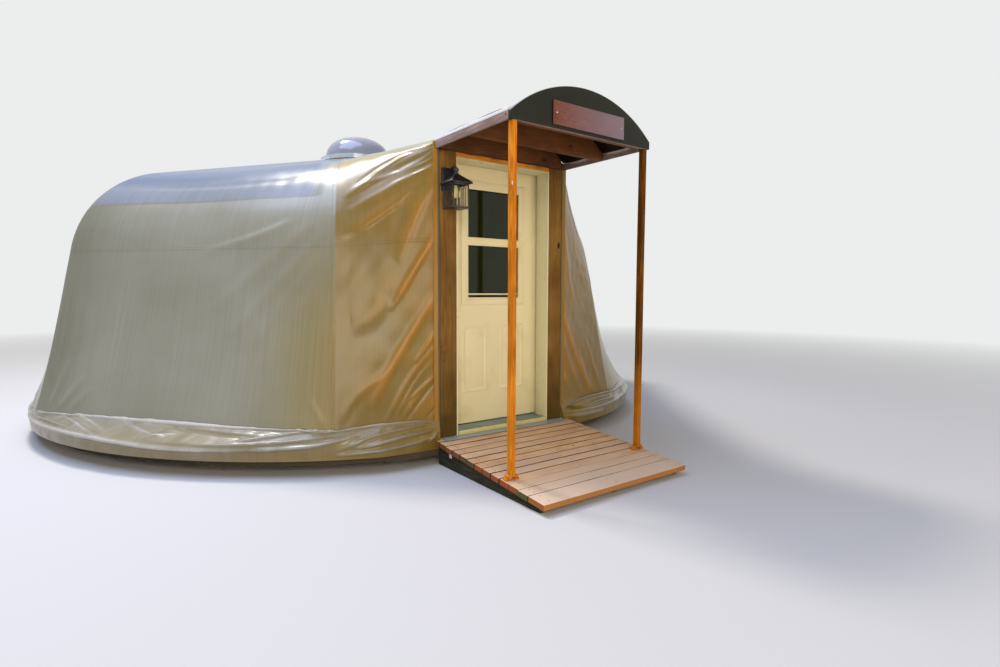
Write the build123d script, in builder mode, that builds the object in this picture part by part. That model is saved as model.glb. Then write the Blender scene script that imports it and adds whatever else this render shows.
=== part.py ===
from build123d import *

import os
from math import cos, pi, radians, sin, sqrt, tan

# A seven-sided fabric yurt on a low round platform, with a door under an arched awning and a small deck.
# Millimetres. The origin is on the ground under the crown, +Z is up and the door faces -Y.
# Angles round the yurt are in degrees from the door, turning towards +X.

# Platform
block_side = 290.0
block_height = 67.0
block_spacing = 1300.0
joist_width = 38.0
joist_height = 89.0
joist_spacing = 800.0
floor_thickness = 24.0
platform_radius = 3050.0
platform_lip = 15.0
rim_thickness = 38.0

# Frame of bent ribs
rib_count = 7
rib_width = 38.0
rib_depth = 70.0
foot_overhang = 14.0
wall_lean = 9.37
corner_rise = 2016.0
roof_pitch = 13.5
shoulder_radius = 880.0
crown_radius = 440.0
crown_wall = 110.0
crown_depth = 95.0

# Fabric cover and its skirt
cover_thickness = 3.0
crown_lap = 7.0
cover_side_gap = 2.0
strip_width = 12.0
strip_setback = 10.0
strip_bend_height = 90.0
strip_roof_height = 36.0
seam_rise = 1500.0
crease_rise = 122.0
skirt_overhang = 66.0
skirt_roll = 45.0
skirt_tuck_roll = 12.0
skirt_side_drop = 62.0
hem_tuck = 40.0
hem_drop = 192.0
skirt_lip = 12.0

# Skylight
curb_lap = 40.0
curb_wall = 45.0
curb_height = 24.0
flange_height = 46.0
flange_overhang = 20.0
flange_wall = 4.0
dome_inset = 34.0
dome_seat = 8.0
dome_rise = 262.0
dome_wall = 4.0
dome_fullness = 1.3

# Doorway
door_setback = 115.0
door_recess = 160.0
post_size = 140.0
liner_thickness = 10.0
head_plank_thickness = 34.0
door_width = 914.0
door_height = 2032.0
door_thickness = 44.0
door_gap = 7.0
sill_gap = 8.0
side_stop = 19.5
head_stop = 14.0
frame_leg = 32.0
sill_height = 34.0
sill_nose_height = 12.0
sill_overhang = 10.0
flashing_reach = 85.0
flashing_thickness = 2.0

# Door window and fittings
window_width = 620.0
window_height = 970.0
window_head = 122.0
window_flange = 8.0
window_lap = 20.0
pane_width = 516.0
pane_low_rise = 50.0
pane_low_height = 428.0
rail_height = 43.0
pane_high_height = 390.0
pane_thickness = 6.0
backset = 60.0
knob_rise = 853.0
bolt_rise = 235.0
rosette_radius = 32.0
rosette_depth = 8.0
knob_radius = 27.0
knob_reach = 55.0
knob_neck = 11.0
hinge_rises = (178.0, 1018.0, 1858.0)
hinge_length = 100.0
barrel_radius = 6.0
barrel_clearance = 1.0
leaf_width = 30.0
leaf_thickness = 2.2
hinge_web = 4.4

# Awning
awning_half_width = 610.0
awning_reach = 885.0
awning_edge_height = 59.0
awning_rise = 290.0
awning_sheet = 3.0
cross_board = 38.0
back_board_relief = 8.0
middle_board_offset = 444.0
gable_thickness = 25.0
fascia_thickness = 12.0
plaque_width = 640.0
plaque_height = 147.0
plaque_thickness = 12.0
plaque_centre_x = 20.0
plaque_centre_rise = 94.0
porch_post_size = 38.0
porch_post_inset = 25.0
porch_post_setback = 29.0
foot_block = (110.0, 64.0, 30.0)

# Deck
deck_half_width = 650.0
deck_gap = 8.0
deck_run = 1208.0
deck_step = 1.0
deck_front_height = 72.0
deck_board = 89.0
deck_board_gap = 3.0
deck_front_board = 140.0
deck_thickness = 38.0
stringer_width = 38.0
stringer_inset = 25.0
stringer_front_setback = 60.0

# Lantern
lantern_stand_off = 110.0
lantern_plate = (120.0, 12.0, 190.0)
lantern_plate_drop = 199.0
lantern_drop = 428.0
lantern_half_width = 62.0
lantern_glass_height = 158.0
lantern_eave_half_width = 88.0
lantern_roof_rise = 48.0
lantern_bar = 7.0
lantern_base_thickness = 9.0
finial_radius = 12.0
finial_height = 70.0
arm_radius = 9.0
bulb_radius = 27.0
bulb_drop = 60.0

# Clearance between pieces that curve or only rest against each other
fit = 0.3

# Platform and door plane
joist_top = block_height + joist_height
floor_top = joist_top + floor_thickness
front_plane = platform_radius - door_setback
platform_front = front_plane + platform_lip
skirt_front = platform_front + skirt_lip
deck_back = skirt_front + deck_gap
deck_front = deck_back + deck_run
deck_back_height = floor_top - deck_step
awning_front = front_plane + awning_reach

# Section of the cover over a rib
half_bay = 180.0 / rib_count
bay_angle = 360.0 / rib_count
narrow_ratio = cos(radians(half_bay))
foot_radius = platform_radius + foot_overhang
corner_height = floor_top + corner_rise
lean = radians(wall_lean)
pitch = radians(roof_pitch)
corner_radius = foot_radius - tan(lean) * corner_rise
bend = pi / 2 - lean - pitch
to_corner = shoulder_radius / cos(bend / 2)
middle_direction = lean + bend / 2
bend_centre = (
    corner_radius - to_corner * cos(middle_direction),
    corner_height - to_corner * sin(middle_direction),
)
cover_crown_radius = crown_radius + crown_lap
rib_setback = rib_width / 2 * tan(radians(half_bay)) + fit
seam_height = floor_top + seam_rise
crease_height = floor_top + crease_rise
cover_start = crease_height + fit
skirt_reach = foot_radius + skirt_overhang

# Doorway and door leaf
opening_half_width = door_width / 2 - side_stop + liner_thickness
post_outer = opening_half_width + post_size
post_back = front_plane - post_size
door_face = front_plane - door_recess
stop_plane = door_face + door_gap
frame_back = door_face - door_thickness
frame_inner = door_width / 2 + door_gap
sill_top = floor_top + sill_height
sill_front = front_plane + sill_overhang
door_bottom = sill_top + sill_gap
door_top = door_bottom + door_height
head_plank_bottom = door_top - head_stop + liner_thickness
post_top = head_plank_bottom + head_plank_thickness
fabric_plane = front_plane - strip_setback

# Arch of the awning
awning_flank = awning_rise - awning_edge_height
awning_radius = (awning_half_width**2 + awning_flank**2) / (2 * awning_flank)
awning_centre_height = post_top + awning_rise - awning_radius


def heading(angle, reach=1.0):
    """Point at this angle round the yurt and this distance from its centre line."""
    return (reach * sin(radians(angle)), -reach * cos(radians(angle)))


def upright_plane(angle):
    """Vertical plane through the centre line: local x runs outwards at this angle, local y runs up."""
    across = heading(angle)
    return Plane(origin=(0, 0, 0), x_dir=(*across, 0), z_dir=(across[1], -across[0], 0))


def front_facing(y):
    """Upright plane across the yurt at this y, facing the way the door does, with local y running up."""
    return Plane(origin=(0, y, 0), x_dir=(1, 0, 0), z_dir=(0, -1, 0))


def section_points(inset, foot_height, crown_end, narrow, setback):
    """Ends of the straight wall and roof of the cover's section, moved in by inset and back by setback."""
    bend_radius = shoulder_radius - inset
    wall_end = (bend_centre[0] + bend_radius * cos(lean), bend_centre[1] + bend_radius * sin(lean))
    roof_end = (bend_centre[0] + bend_radius * sin(pitch), bend_centre[1] + bend_radius * cos(pitch))
    foot = (wall_end[0] + tan(lean) * (wall_end[1] - foot_height), foot_height)
    crown = (crown_end, roof_end[1] + tan(pitch) * (roof_end[0] - setback - crown_end))
    shifted = [((r - setback) * narrow, z) for r, z in (foot, wall_end, roof_end)]
    return shifted + [(crown[0] * narrow, crown[1])]


def bent_band(plane, insets, foot_height, crown_end, narrow=1.0, setback=0.0):
    """Face between two copies of the section, in an upright plane."""
    with BuildSketch(plane) as band:
        with BuildLine():
            ends = []
            for inset in insets:
                foot, wall_end, roof_end, crown = section_points(
                    inset, foot_height, crown_end, narrow, setback
                )
                Line(foot, wall_end)
                EllipticalCenterArc(
                    ((bend_centre[0] - setback) * narrow, bend_centre[1]),
                    (shoulder_radius - inset) * narrow,
                    shoulder_radius - inset,
                    start_angle=wall_lean,
                    arc_size=90.0 - wall_lean - roof_pitch,
                )
                Line(roof_end, crown)
                ends.append((foot, crown))
            Line(ends[0][0], ends[1][0])
            Line(ends[0][1], ends[1][1])
        make_face()
    return band.sketch


def cover_bay(angle, keep):
    """The wall (below the seam) or the roof (above it) of the flat bay centred on this angle."""
    half_chord = foot_radius * sin(radians(half_bay))
    reach = 2 * foot_radius
    with BuildPart() as bay:
        middle = upright_plane(angle).offset(-half_chord)
        band = bent_band(middle, (0, cover_thickness), cover_start, cover_crown_radius, narrow_ratio)
        extrude(band, amount=2 * half_chord)
        with BuildSketch(Plane.XY):
            with BuildLine():
                Polyline(
                    (0, 0), heading(angle - half_bay, reach), heading(angle + half_bay, reach), close=True
                )
            make_face()
        extrude(amount=2 * corner_height, mode=Mode.INTERSECT)
        split(bisect_by=Plane.XY.offset(seam_height), keep=keep)
    return bay.part


def rib(angle):
    """One bent rib, standing on the floor and ending at the crown ring."""
    with BuildPart() as piece:
        side = upright_plane(angle).offset(-rib_width / 2)
        edges = (cover_thickness, cover_thickness + rib_depth)
        band = bent_band(side, edges, floor_top, crown_radius, setback=rib_setback)
        extrude(band, amount=rib_width)
    return piece.part


def save(part, name):
    """Label a finished piece and write its file."""
    part.label = name
    export_step(part, f"parts/{name}.step")


os.makedirs("parts", exist_ok=True)

# Platform

with BuildPart() as footing_blocks:
    joist_columns = int((platform_radius - rim_thickness) // joist_spacing)
    block_rows = int(platform_radius // block_spacing)
    for column in range(-joist_columns, joist_columns + 1):
        for row in range(-block_rows, block_rows + 1):
            x = column * joist_spacing
            y = row * block_spacing
            if sqrt(x * x + y * y) < platform_radius - block_side / 2:
                with BuildSketch(Plane.XY):
                    with Locations((x, y)):
                        Rectangle(block_side, block_side)
                extrude(amount=block_height)
save(footing_blocks.part, "footing_blocks")

with BuildSketch(Plane.XY) as platform_outline:
    Circle(platform_radius)
    with Locations((0, -platform_front)):
        Rectangle(
            2 * platform_radius, 2 * platform_radius, align=(Align.CENTER, Align.MAX), mode=Mode.SUBTRACT
        )

with BuildSketch(Plane.XY) as inside_rim:
    add(platform_outline.sketch)
    offset(amount=-rim_thickness, kind=Kind.INTERSECTION)

with BuildPart() as floor_joists:
    with BuildSketch(Plane.XY.offset(block_height)):
        with GridLocations(joist_spacing, 1, 2 * joist_columns + 1, 1):
            Rectangle(joist_width, 2 * platform_radius)
    extrude(amount=joist_height)
    with BuildSketch(Plane.XY.offset(block_height)):
        add(inside_rim.sketch)
    extrude(amount=joist_height, mode=Mode.INTERSECT)
save(floor_joists.part, "floor_joists")

with BuildPart() as rim_joist:
    with BuildSketch(Plane.XY.offset(block_height)):
        add(platform_outline.sketch)
        add(inside_rim.sketch, mode=Mode.SUBTRACT)
    extrude(amount=joist_height)
save(rim_joist.part, "rim_joist")

with BuildPart() as floor_panel:
    with BuildSketch(Plane.XY.offset(joist_top)):
        add(platform_outline.sketch)
    extrude(amount=floor_thickness)
save(floor_panel.part, "floor_panel")

# Ribs and crown

rib_angles = {
    "rib_front_left": -half_bay,
    "rib_front_right": half_bay,
    "rib_side_left": -half_bay - bay_angle,
    "rib_side_right": half_bay + bay_angle,
    "rib_rear_left": -half_bay - 2 * bay_angle,
    "rib_rear_right": half_bay + 2 * bay_angle,
    "rib_back": half_bay + 3 * bay_angle,
}
for name, angle in rib_angles.items():
    save(rib(angle), name)

crown_top = section_points(cover_thickness, floor_top, crown_radius / narrow_ratio, 1.0, 0.0)[3][1] - fit
with BuildPart() as crown_ring:
    with BuildSketch(Plane.XY.offset(crown_top - crown_depth)):
        Circle(crown_radius)
        Circle(crown_radius - crown_wall, mode=Mode.SUBTRACT)
    extrude(amount=crown_depth)
save(crown_ring.part, "crown_ring")

# Skylight

curb_radius = crown_radius - curb_lap
with BuildPart() as skylight_curb:
    with BuildSketch(Plane.XY.offset(crown_top)):
        Circle(curb_radius)
        Circle(curb_radius - curb_wall, mode=Mode.SUBTRACT)
    extrude(amount=curb_height)
save(skylight_curb.part, "skylight_curb")

curb_top = crown_top + curb_height
flange_radius = curb_radius + flange_overhang
dome_radius = curb_radius - dome_inset
with BuildPart() as skylight_flange:
    with BuildSketch(Plane.XY.offset(curb_top)):
        Circle(flange_radius)
        Circle(curb_radius - flange_wall, mode=Mode.SUBTRACT)
    extrude(amount=flange_height - flange_wall)
    with BuildSketch(Plane.XY.offset(curb_top + flange_height - flange_wall)):
        Circle(flange_radius)
        Circle(dome_radius - dome_seat, mode=Mode.SUBTRACT)
    extrude(amount=flange_wall)
save(skylight_flange.part, "skylight_flange")

dome_base = curb_top + flange_height
with BuildPart() as skylight_dome:
    with BuildSketch(Plane.XZ):
        with BuildLine():
            for inset in (0, dome_wall):
                foot = (dome_radius - inset, dome_base)
                top = (0, dome_base + dome_rise - inset)
                Spline(foot, top, tangents=((0, 1), (-1, 0)), tangent_scalars=(dome_fullness, dome_fullness))
            Line((0, dome_base + dome_rise - dome_wall), (0, dome_base + dome_rise))
            Line((dome_radius - dome_wall, dome_base), (dome_radius, dome_base))
        make_face()
    revolve(axis=Axis.Z)
save(skylight_dome.part, "skylight_dome")

# Fabric cover, one wall and one roof piece for each flat bay

bay_angles = {
    "front_left": -bay_angle,
    "front_right": bay_angle,
    "side_left": -2 * bay_angle,
    "side_right": 2 * bay_angle,
    "back_left": -3 * bay_angle,
    "back_right": 3 * bay_angle,
}
for name, angle in bay_angles.items():
    save(cover_bay(angle, Keep.BOTTOM), f"wall_cover_{name}")
    save(cover_bay(angle, Keep.TOP), f"roof_cover_{name}")

# Fabric swept from the front ribs to the doorway

strip_top = post_top + awning_edge_height - fit

cover_ends = [
    section_points(inset, cover_start, cover_crown_radius, 1.0, 0.0) for inset in (0, cover_thickness)
]
strip_heights = (cover_start, strip_top - strip_bend_height, strip_top - strip_roof_height, strip_top)


def rib_piece(side, segment):
    """One of the three stretches of the cover's section over a front rib: wall, bend or roof."""
    with BuildSketch(upright_plane(side * half_bay)) as face:
        with BuildLine():
            for inset, ends in zip((0, cover_thickness), cover_ends):
                if segment == 1:
                    CenterArc(bend_centre, shoulder_radius - inset, wall_lean, 90.0 - wall_lean - roof_pitch)
                else:
                    Line(ends[segment], ends[segment + 1])
            for index in (segment, segment + 1):
                Line(cover_ends[0][index], cover_ends[1][index])
        make_face()
    return face.sketch.face()


def strip_piece(side, segment):
    """The stretch of the fabric's edge beside the door post that this stretch of the rib runs to."""
    with BuildSketch(front_facing(-fabric_plane)) as face:
        with Locations((side * (post_outer + fit), strip_heights[segment])):
            Rectangle(
                strip_width,
                strip_heights[segment + 1] - strip_heights[segment],
                align=(Align.MIN if side > 0 else Align.MAX, Align.MIN),
            )
    return face.sketch.face()


for side, name in ((-1, "door_cover_left"), (1, "door_cover_right")):
    with BuildPart() as door_cover:
        for segment in range(3):
            loft([rib_piece(side, segment), strip_piece(side, segment)], ruled=True)
    save(door_cover.part, name)

with BuildPart() as door_cover_top:
    with BuildSketch(front_facing(-fabric_plane)):
        with BuildLine():
            sheet = (awning_radius, awning_radius - cover_thickness)
            sheet_low = [awning_centre_height + sqrt(radius**2 - post_outer**2) for radius in sheet]
            for radius, low in zip(sheet, sheet_low):
                top = (0, awning_centre_height + radius)
                ThreePointArc((-post_outer, low), top, (post_outer, low))
            for edge in (-post_outer, post_outer):
                Line((edge, sheet_low[0]), (edge, sheet_low[1]))
        make_face()
    crown_x, crown_y = heading(half_bay, cover_crown_radius)
    with BuildSketch(front_facing(crown_y)):
        with Locations((0, cover_ends[0][3][1])):
            Rectangle(2 * (crown_x - cover_side_gap), cover_thickness, align=(Align.CENTER, Align.MAX))
    loft(ruled=True)
save(door_cover_top.part, "door_cover_top")

# Skirt that rolls out over the platform's edge

skirt_core = foot_radius * narrow_ratio - rib_depth

def skirt_body(side, inset):
    """Half ring under the skirt's outside, moved in by inset, open towards the door."""
    with BuildPart() as body:
        with BuildSketch(Plane.YZ) as profile:
            with BuildLine():
                Polyline(
                    (skirt_core, crease_height - inset),
                    (skirt_reach - inset, crease_height - inset),
                    (skirt_reach - inset, crease_height - skirt_side_drop),
                    (skirt_reach - hem_tuck - inset, crease_height - hem_drop),
                    (skirt_core, crease_height - hem_drop),
                    close=True,
                )
            make_face()
            tuck_corner, roll_corner = profile.vertices().sort_by(Axis.X)[-2:].sort_by(Axis.Y)
            fillet(roll_corner, skirt_roll - inset)
            fillet(tuck_corner, skirt_tuck_roll - inset)
        revolve(axis=Axis((0, 0, 0), (0, 0, -side)), revolution_arc=180)
        with BuildSketch(Plane.XY):
            with Locations((0, -(skirt_front - inset))):
                Rectangle(2 * skirt_reach, 2 * skirt_reach, align=(Align.CENTER, Align.MIN))
            Rectangle(
                2 * (post_outer + fit),
                2 * skirt_reach,
                align=(Align.CENTER, Align.MAX),
                mode=Mode.SUBTRACT,
            )
        extrude(amount=2 * crease_height, mode=Mode.INTERSECT)
    return body.part


plate_bottom = crease_height - cover_thickness
inner_foot = section_points(cover_thickness, plate_bottom, cover_crown_radius, 1.0, 0.0)[0][0]
for side, name in ((-1, "skirt_left"), (1, "skirt_right")):
    with BuildPart() as skirt:
        add(skirt_body(side, 0))
        add(skirt_body(side, cover_thickness), mode=Mode.SUBTRACT)
        with BuildSketch(Plane.XY):
            with BuildLine():
                corners = [heading(half_bay + step * bay_angle, inner_foot) for step in range(rib_count)]
                beside_posts = [(edge * post_outer, -fabric_plane) for edge in (1, -1)]
                Polyline(beside_posts[0], *corners, beside_posts[1], close=True)
            make_face()
        extrude(amount=2 * crease_height, mode=Mode.SUBTRACT)
    save(skirt.part, name)

# Doorway

for side, name in ((-1, "door_post_left"), (1, "door_post_right")):
    with BuildPart() as door_post:
        with BuildSketch(Plane.XY.offset(floor_top)):
            with Locations((side * (opening_half_width + post_size / 2), -front_plane + post_size / 2)):
                Rectangle(post_size, post_size)
        extrude(amount=post_top - floor_top)
    save(door_post.part, name)

with BuildPart() as head_plank:
    with BuildSketch(Plane.XY.offset(head_plank_bottom)):
        with Locations((0, -front_plane)):
            Rectangle(2 * opening_half_width, post_size, align=(Align.CENTER, Align.MIN))
    extrude(amount=post_top - head_plank_bottom)
save(head_plank.part, "head_plank")

with BuildPart() as door_liner:
    with BuildSketch(front_facing(-front_plane)):
        with Locations((0, floor_top)):
            Rectangle(
                2 * opening_half_width, head_plank_bottom - floor_top, align=(Align.CENTER, Align.MIN)
            )
            Rectangle(
                2 * (opening_half_width - liner_thickness),
                head_plank_bottom - liner_thickness - floor_top,
                align=(Align.CENTER, Align.MIN),
                mode=Mode.SUBTRACT,
            )
    extrude(amount=-(front_plane - stop_plane))
save(door_liner.part, "door_liner")

frame_opening = door_top + door_gap - sill_top
with BuildPart() as door_frame:
    with BuildSketch(front_facing(-post_back)):
        with Locations((0, sill_top)):
            Rectangle(
                2 * (frame_inner + frame_leg), frame_opening + frame_leg, align=(Align.CENTER, Align.MIN)
            )
            Rectangle(2 * frame_inner, frame_opening, align=(Align.CENTER, Align.MIN), mode=Mode.SUBTRACT)
    extrude(amount=-(post_back - frame_back))
    with BuildSketch(front_facing(-post_back)):
        with Locations((0, sill_top)):
            Rectangle(2 * frame_inner, frame_opening, align=(Align.CENTER, Align.MIN))
            Rectangle(
                2 * opening_half_width,
                head_plank_bottom - sill_top,
                align=(Align.CENTER, Align.MIN),
                mode=Mode.SUBTRACT,
            )
    extrude(amount=-(post_back - stop_plane))
save(door_frame.part, "door_frame")

with BuildPart() as door_sill:
    with BuildSketch(Plane.YZ):
        with BuildLine():
            Polyline(
                (-sill_front, floor_top),
                (-sill_front, floor_top + sill_nose_height),
                (-post_back, sill_top),
                (-frame_back, sill_top),
                (-frame_back, floor_top),
                close=True,
            )
        make_face()
    extrude(amount=opening_half_width - liner_thickness - fit, both=True)
    with BuildSketch(Plane.XY.offset(floor_top)):
        with Locations((0, -post_back + fit)):
            Rectangle(
                2 * (frame_inner + frame_leg), post_back - frame_back - fit, align=(Align.CENTER, Align.MIN)
            )
    extrude(amount=sill_height)
    with BuildSketch(Plane.XY.offset(floor_top)):
        for side in (-1, 1):
            with Locations((side * (opening_half_width - liner_thickness / 2), -stop_plane)):
                Rectangle(liner_thickness + 2 * fit, post_size, align=(Align.CENTER, Align.MAX))
    extrude(amount=sill_height, mode=Mode.SUBTRACT)
save(door_sill.part, "door_sill")

with BuildPart() as sill_flashing:
    with BuildSketch(Plane.XY.offset(floor_top)):
        with Locations((0, -sill_front)):
            Rectangle(2 * post_outer, flashing_reach, align=(Align.CENTER, Align.MAX))
    extrude(amount=flashing_thickness)
save(sill_flashing.part, "sill_flashing")

# Door leaf

front_face = front_facing(-door_face)
window_bottom = door_top - window_head - window_height
pane_bottom = window_bottom + pane_low_rise
rail_bottom = pane_bottom + pane_low_height
panes = ((pane_bottom, pane_low_height), (rail_bottom + rail_height, pane_high_height))
with BuildPart() as door_slab:
    with BuildSketch(front_face):
        with Locations((0, door_bottom)):
            Rectangle(door_width, door_height, align=(Align.CENTER, Align.MIN))
        with Locations((0, window_bottom + window_lap)):
            Rectangle(
                window_width - 2 * window_lap,
                window_height - 2 * window_lap,
                align=(Align.CENTER, Align.MIN),
                mode=Mode.SUBTRACT,
            )
    extrude(amount=-door_thickness)
save(door_slab.part, "door_slab")

with BuildPart() as door_window_frame:
    with BuildSketch(front_face):
        with Locations((0, window_bottom + window_lap)):
            Rectangle(
                window_width - 2 * window_lap,
                window_height - 2 * window_lap,
                align=(Align.CENTER, Align.MIN),
            )
    extrude(amount=-door_thickness)
    for plane in (front_face, front_face.offset(-door_thickness - window_flange)):
        with BuildSketch(plane):
            with Locations((0, window_bottom)):
                Rectangle(window_width, window_height, align=(Align.CENTER, Align.MIN))
        extrude(amount=window_flange)
    with BuildSketch(front_face.offset(window_flange)):
        for low, height in panes:
            with Locations((0, low)):
                Rectangle(pane_width, height, align=(Align.CENTER, Align.MIN))
    extrude(amount=-door_thickness - 2 * window_flange, mode=Mode.SUBTRACT)
save(door_window_frame.part, "door_window_frame")

with BuildPart() as door_glass:
    with BuildSketch(front_face.offset(-door_thickness / 2)):
        for low, height in panes:
            with Locations((0, low)):
                Rectangle(pane_width, height, align=(Align.CENTER, Align.MIN))
    extrude(amount=pane_thickness / 2, both=True)
save(door_glass.part, "door_glass")

lock_x = -door_width / 2 + backset
knob_height = door_bottom + knob_rise
bolt_height = knob_height + bolt_rise
with BuildPart() as door_lockset:
    for plane in (front_face, Plane(origin=(0, -frame_back, 0), x_dir=(-1, 0, 0), z_dir=(0, 1, 0))):
        along = lock_x if plane is front_face else -lock_x
        with BuildSketch(plane):
            with Locations((along, knob_height), (along, bolt_height)):
                Circle(rosette_radius)
        extrude(amount=rosette_depth)
        with BuildSketch(plane.offset(rosette_depth)):
            with Locations((along, knob_height)):
                Circle(knob_neck)
        extrude(amount=knob_reach - knob_radius)
        with Locations(plane.offset(knob_reach)):
            with Locations((along, knob_height, 0)):
                Sphere(knob_radius)
save(door_lockset.part, "door_lockset")

hinge_x = door_width / 2 + door_gap / 2
hinge_y = -frame_back + barrel_radius + barrel_clearance
hinge_heights = [door_bottom + rise for rise in hinge_rises]
with BuildPart() as hinge_knuckles:
    for height in hinge_heights:
        with BuildSketch(Plane.XY.offset(height)):
            with Locations((hinge_x, hinge_y)):
                Circle(barrel_radius)
            with Locations((hinge_x, -frame_back)):
                Rectangle(leaf_width + door_gap / 2, leaf_thickness, align=(Align.MIN, Align.MIN))
            with Locations((hinge_x, -frame_back)):
                Rectangle(hinge_web, barrel_radius + barrel_clearance, align=(Align.MIN, Align.MIN))
        extrude(amount=hinge_length / 2 - fit)
save(hinge_knuckles.part, "hinge_frame_leaves")

with BuildPart() as hinge_leaves:
    for height in hinge_heights:
        with BuildSketch(Plane.XY.offset(height + hinge_length / 2)):
            with Locations((hinge_x, hinge_y)):
                Circle(barrel_radius)
            with Locations((hinge_x, -frame_back)):
                Rectangle(leaf_width + door_gap / 2, leaf_thickness, align=(Align.MAX, Align.MIN))
            with Locations((hinge_x, -frame_back)):
                Rectangle(hinge_web, barrel_radius + barrel_clearance, align=(Align.MAX, Align.MIN))
        extrude(amount=hinge_length / 2)
save(hinge_leaves.part, "hinge_door_leaves")

# Awning

board_radius = awning_radius - max(awning_sheet, cover_thickness) - fit


def arched_face(y, half_width, radius):
    """Upright face across the awning at this y, flat below and arched above."""
    edge = awning_centre_height + sqrt(radius**2 - half_width**2)
    with BuildSketch(front_facing(y)) as face:
        with BuildLine():
            Polyline((-half_width, edge), (-half_width, post_top), (half_width, post_top), (half_width, edge))
            ThreePointArc((half_width, edge), (0, awning_centre_height + radius), (-half_width, edge))
        make_face()
    return face.sketch


front_board_front = awning_front - gable_thickness
with BuildPart() as awning_boards:
    extrude(arched_face(-front_plane, post_outer - back_board_relief, board_radius), amount=-cross_board)
    for board_front in (front_plane + middle_board_offset, front_board_front):
        extrude(arched_face(-board_front, awning_half_width, board_radius), amount=-cross_board)
save(awning_boards.part, "awning_boards")

with BuildPart() as awning_gable:
    gable_half = awning_half_width + fascia_thickness
    extrude(arched_face(-awning_front, gable_half, awning_radius), amount=-gable_thickness)
save(awning_gable.part, "awning_gable")

roof_start = fabric_plane + fit
sheet_radii = (awning_radius, awning_radius - awning_sheet)
with BuildPart() as awning_roof:
    with BuildSketch(front_facing(-front_board_front)):
        with BuildLine():
            edges = [awning_centre_height + sqrt(radius**2 - awning_half_width**2) for radius in sheet_radii]
            for radius, edge in zip(sheet_radii, edges):
                top = (0, awning_centre_height + radius)
                ThreePointArc((-awning_half_width, edge), top, (awning_half_width, edge))
            for side in (-1, 1):
                Line((side * awning_half_width, edges[0]), (side * awning_half_width, edges[1]))
        make_face()
    extrude(amount=-(front_board_front - roof_start))
save(awning_roof.part, "awning_roof")

with BuildPart() as awning_fascias:
    with BuildSketch(Plane.XY.offset(post_top)):
        for side in (-1, 1):
            with Locations((side * (awning_half_width + fascia_thickness / 2), -front_board_front)):
                Rectangle(
                    fascia_thickness, front_board_front - roof_start, align=(Align.CENTER, Align.MIN)
                )
    extrude(amount=awning_edge_height - fit)
save(awning_fascias.part, "awning_fascias")

with BuildPart() as sign_plaque:
    with BuildSketch(front_facing(-awning_front)):
        with Locations((plaque_centre_x, post_top + plaque_centre_rise)):
            Rectangle(plaque_width, plaque_height)
    extrude(amount=plaque_thickness)
save(sign_plaque.part, "sign_plaque")

# Deck, which falls away from the door

deck_drop = deck_back_height - deck_front_height
deck_length = sqrt(deck_run**2 + deck_drop**2)
deck_up = (0, -deck_drop / deck_length, deck_run / deck_length)
deck_plane = Plane(origin=(0, -deck_back, deck_back_height), x_dir=(1, 0, 0), z_dir=deck_up)
board_pitch = deck_board + deck_board_gap
board_count = int((deck_length - deck_front_board) // board_pitch)
back_strip = deck_length - deck_front_board - board_count * board_pitch - deck_board_gap
with BuildPart() as deck_boards:
    with BuildSketch(deck_plane):
        Rectangle(2 * deck_half_width, back_strip, align=(Align.CENTER, Align.MAX))
        for index in range(board_count):
            with Locations((0, -(back_strip + deck_board_gap + index * board_pitch))):
                Rectangle(2 * deck_half_width, deck_board, align=(Align.CENTER, Align.MAX))
        with Locations((0, -(deck_length - deck_front_board))):
            Rectangle(2 * deck_half_width, deck_front_board, align=(Align.CENTER, Align.MAX))
    extrude(amount=-deck_thickness)
save(deck_boards.part, "deck_boards")

with BuildPart() as deck_stringers:
    under = deck_plane.offset(-deck_thickness)
    back_y = under.origin.Y
    back_z = under.origin.Z
    front_y = -(deck_front - stringer_front_setback)
    front_z = back_z - (back_y - front_y) * deck_drop / deck_run
    stringer_x = deck_half_width - stringer_inset - stringer_width / 2
    for x in (-stringer_x, 0, stringer_x):
        with BuildSketch(Plane.YZ.offset(x)):
            with BuildLine():
                Polyline((back_y, 0), (back_y, back_z), (front_y, front_z), (front_y, 0), close=True)
            make_face()
        extrude(amount=stringer_width / 2, both=True)
save(deck_stringers.part, "deck_stringers")

# Porch posts on their foot blocks

porch_post_x = awning_half_width - porch_post_inset
post_y = -(awning_front - porch_post_setback)
post_share = (-deck_back - post_y) / deck_run
foot_height = deck_back_height - post_share * deck_drop + foot_block[2] / 2
for side, name in ((-1, "porch_post_left"), (1, "porch_post_right")):
    with BuildPart() as porch_post:
        with BuildSketch(deck_plane):
            with Locations((side * porch_post_x, -post_share * deck_length)):
                Rectangle(foot_block[0], foot_block[1])
        extrude(amount=foot_block[2])
        with BuildSketch(Plane.XY.offset(post_top)):
            with Locations((side * porch_post_x, post_y)):
                Rectangle(porch_post_size, porch_post_size)
        extrude(amount=-(post_top - foot_height))
    save(porch_post.part, name)

# Lantern on the left door post

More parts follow.
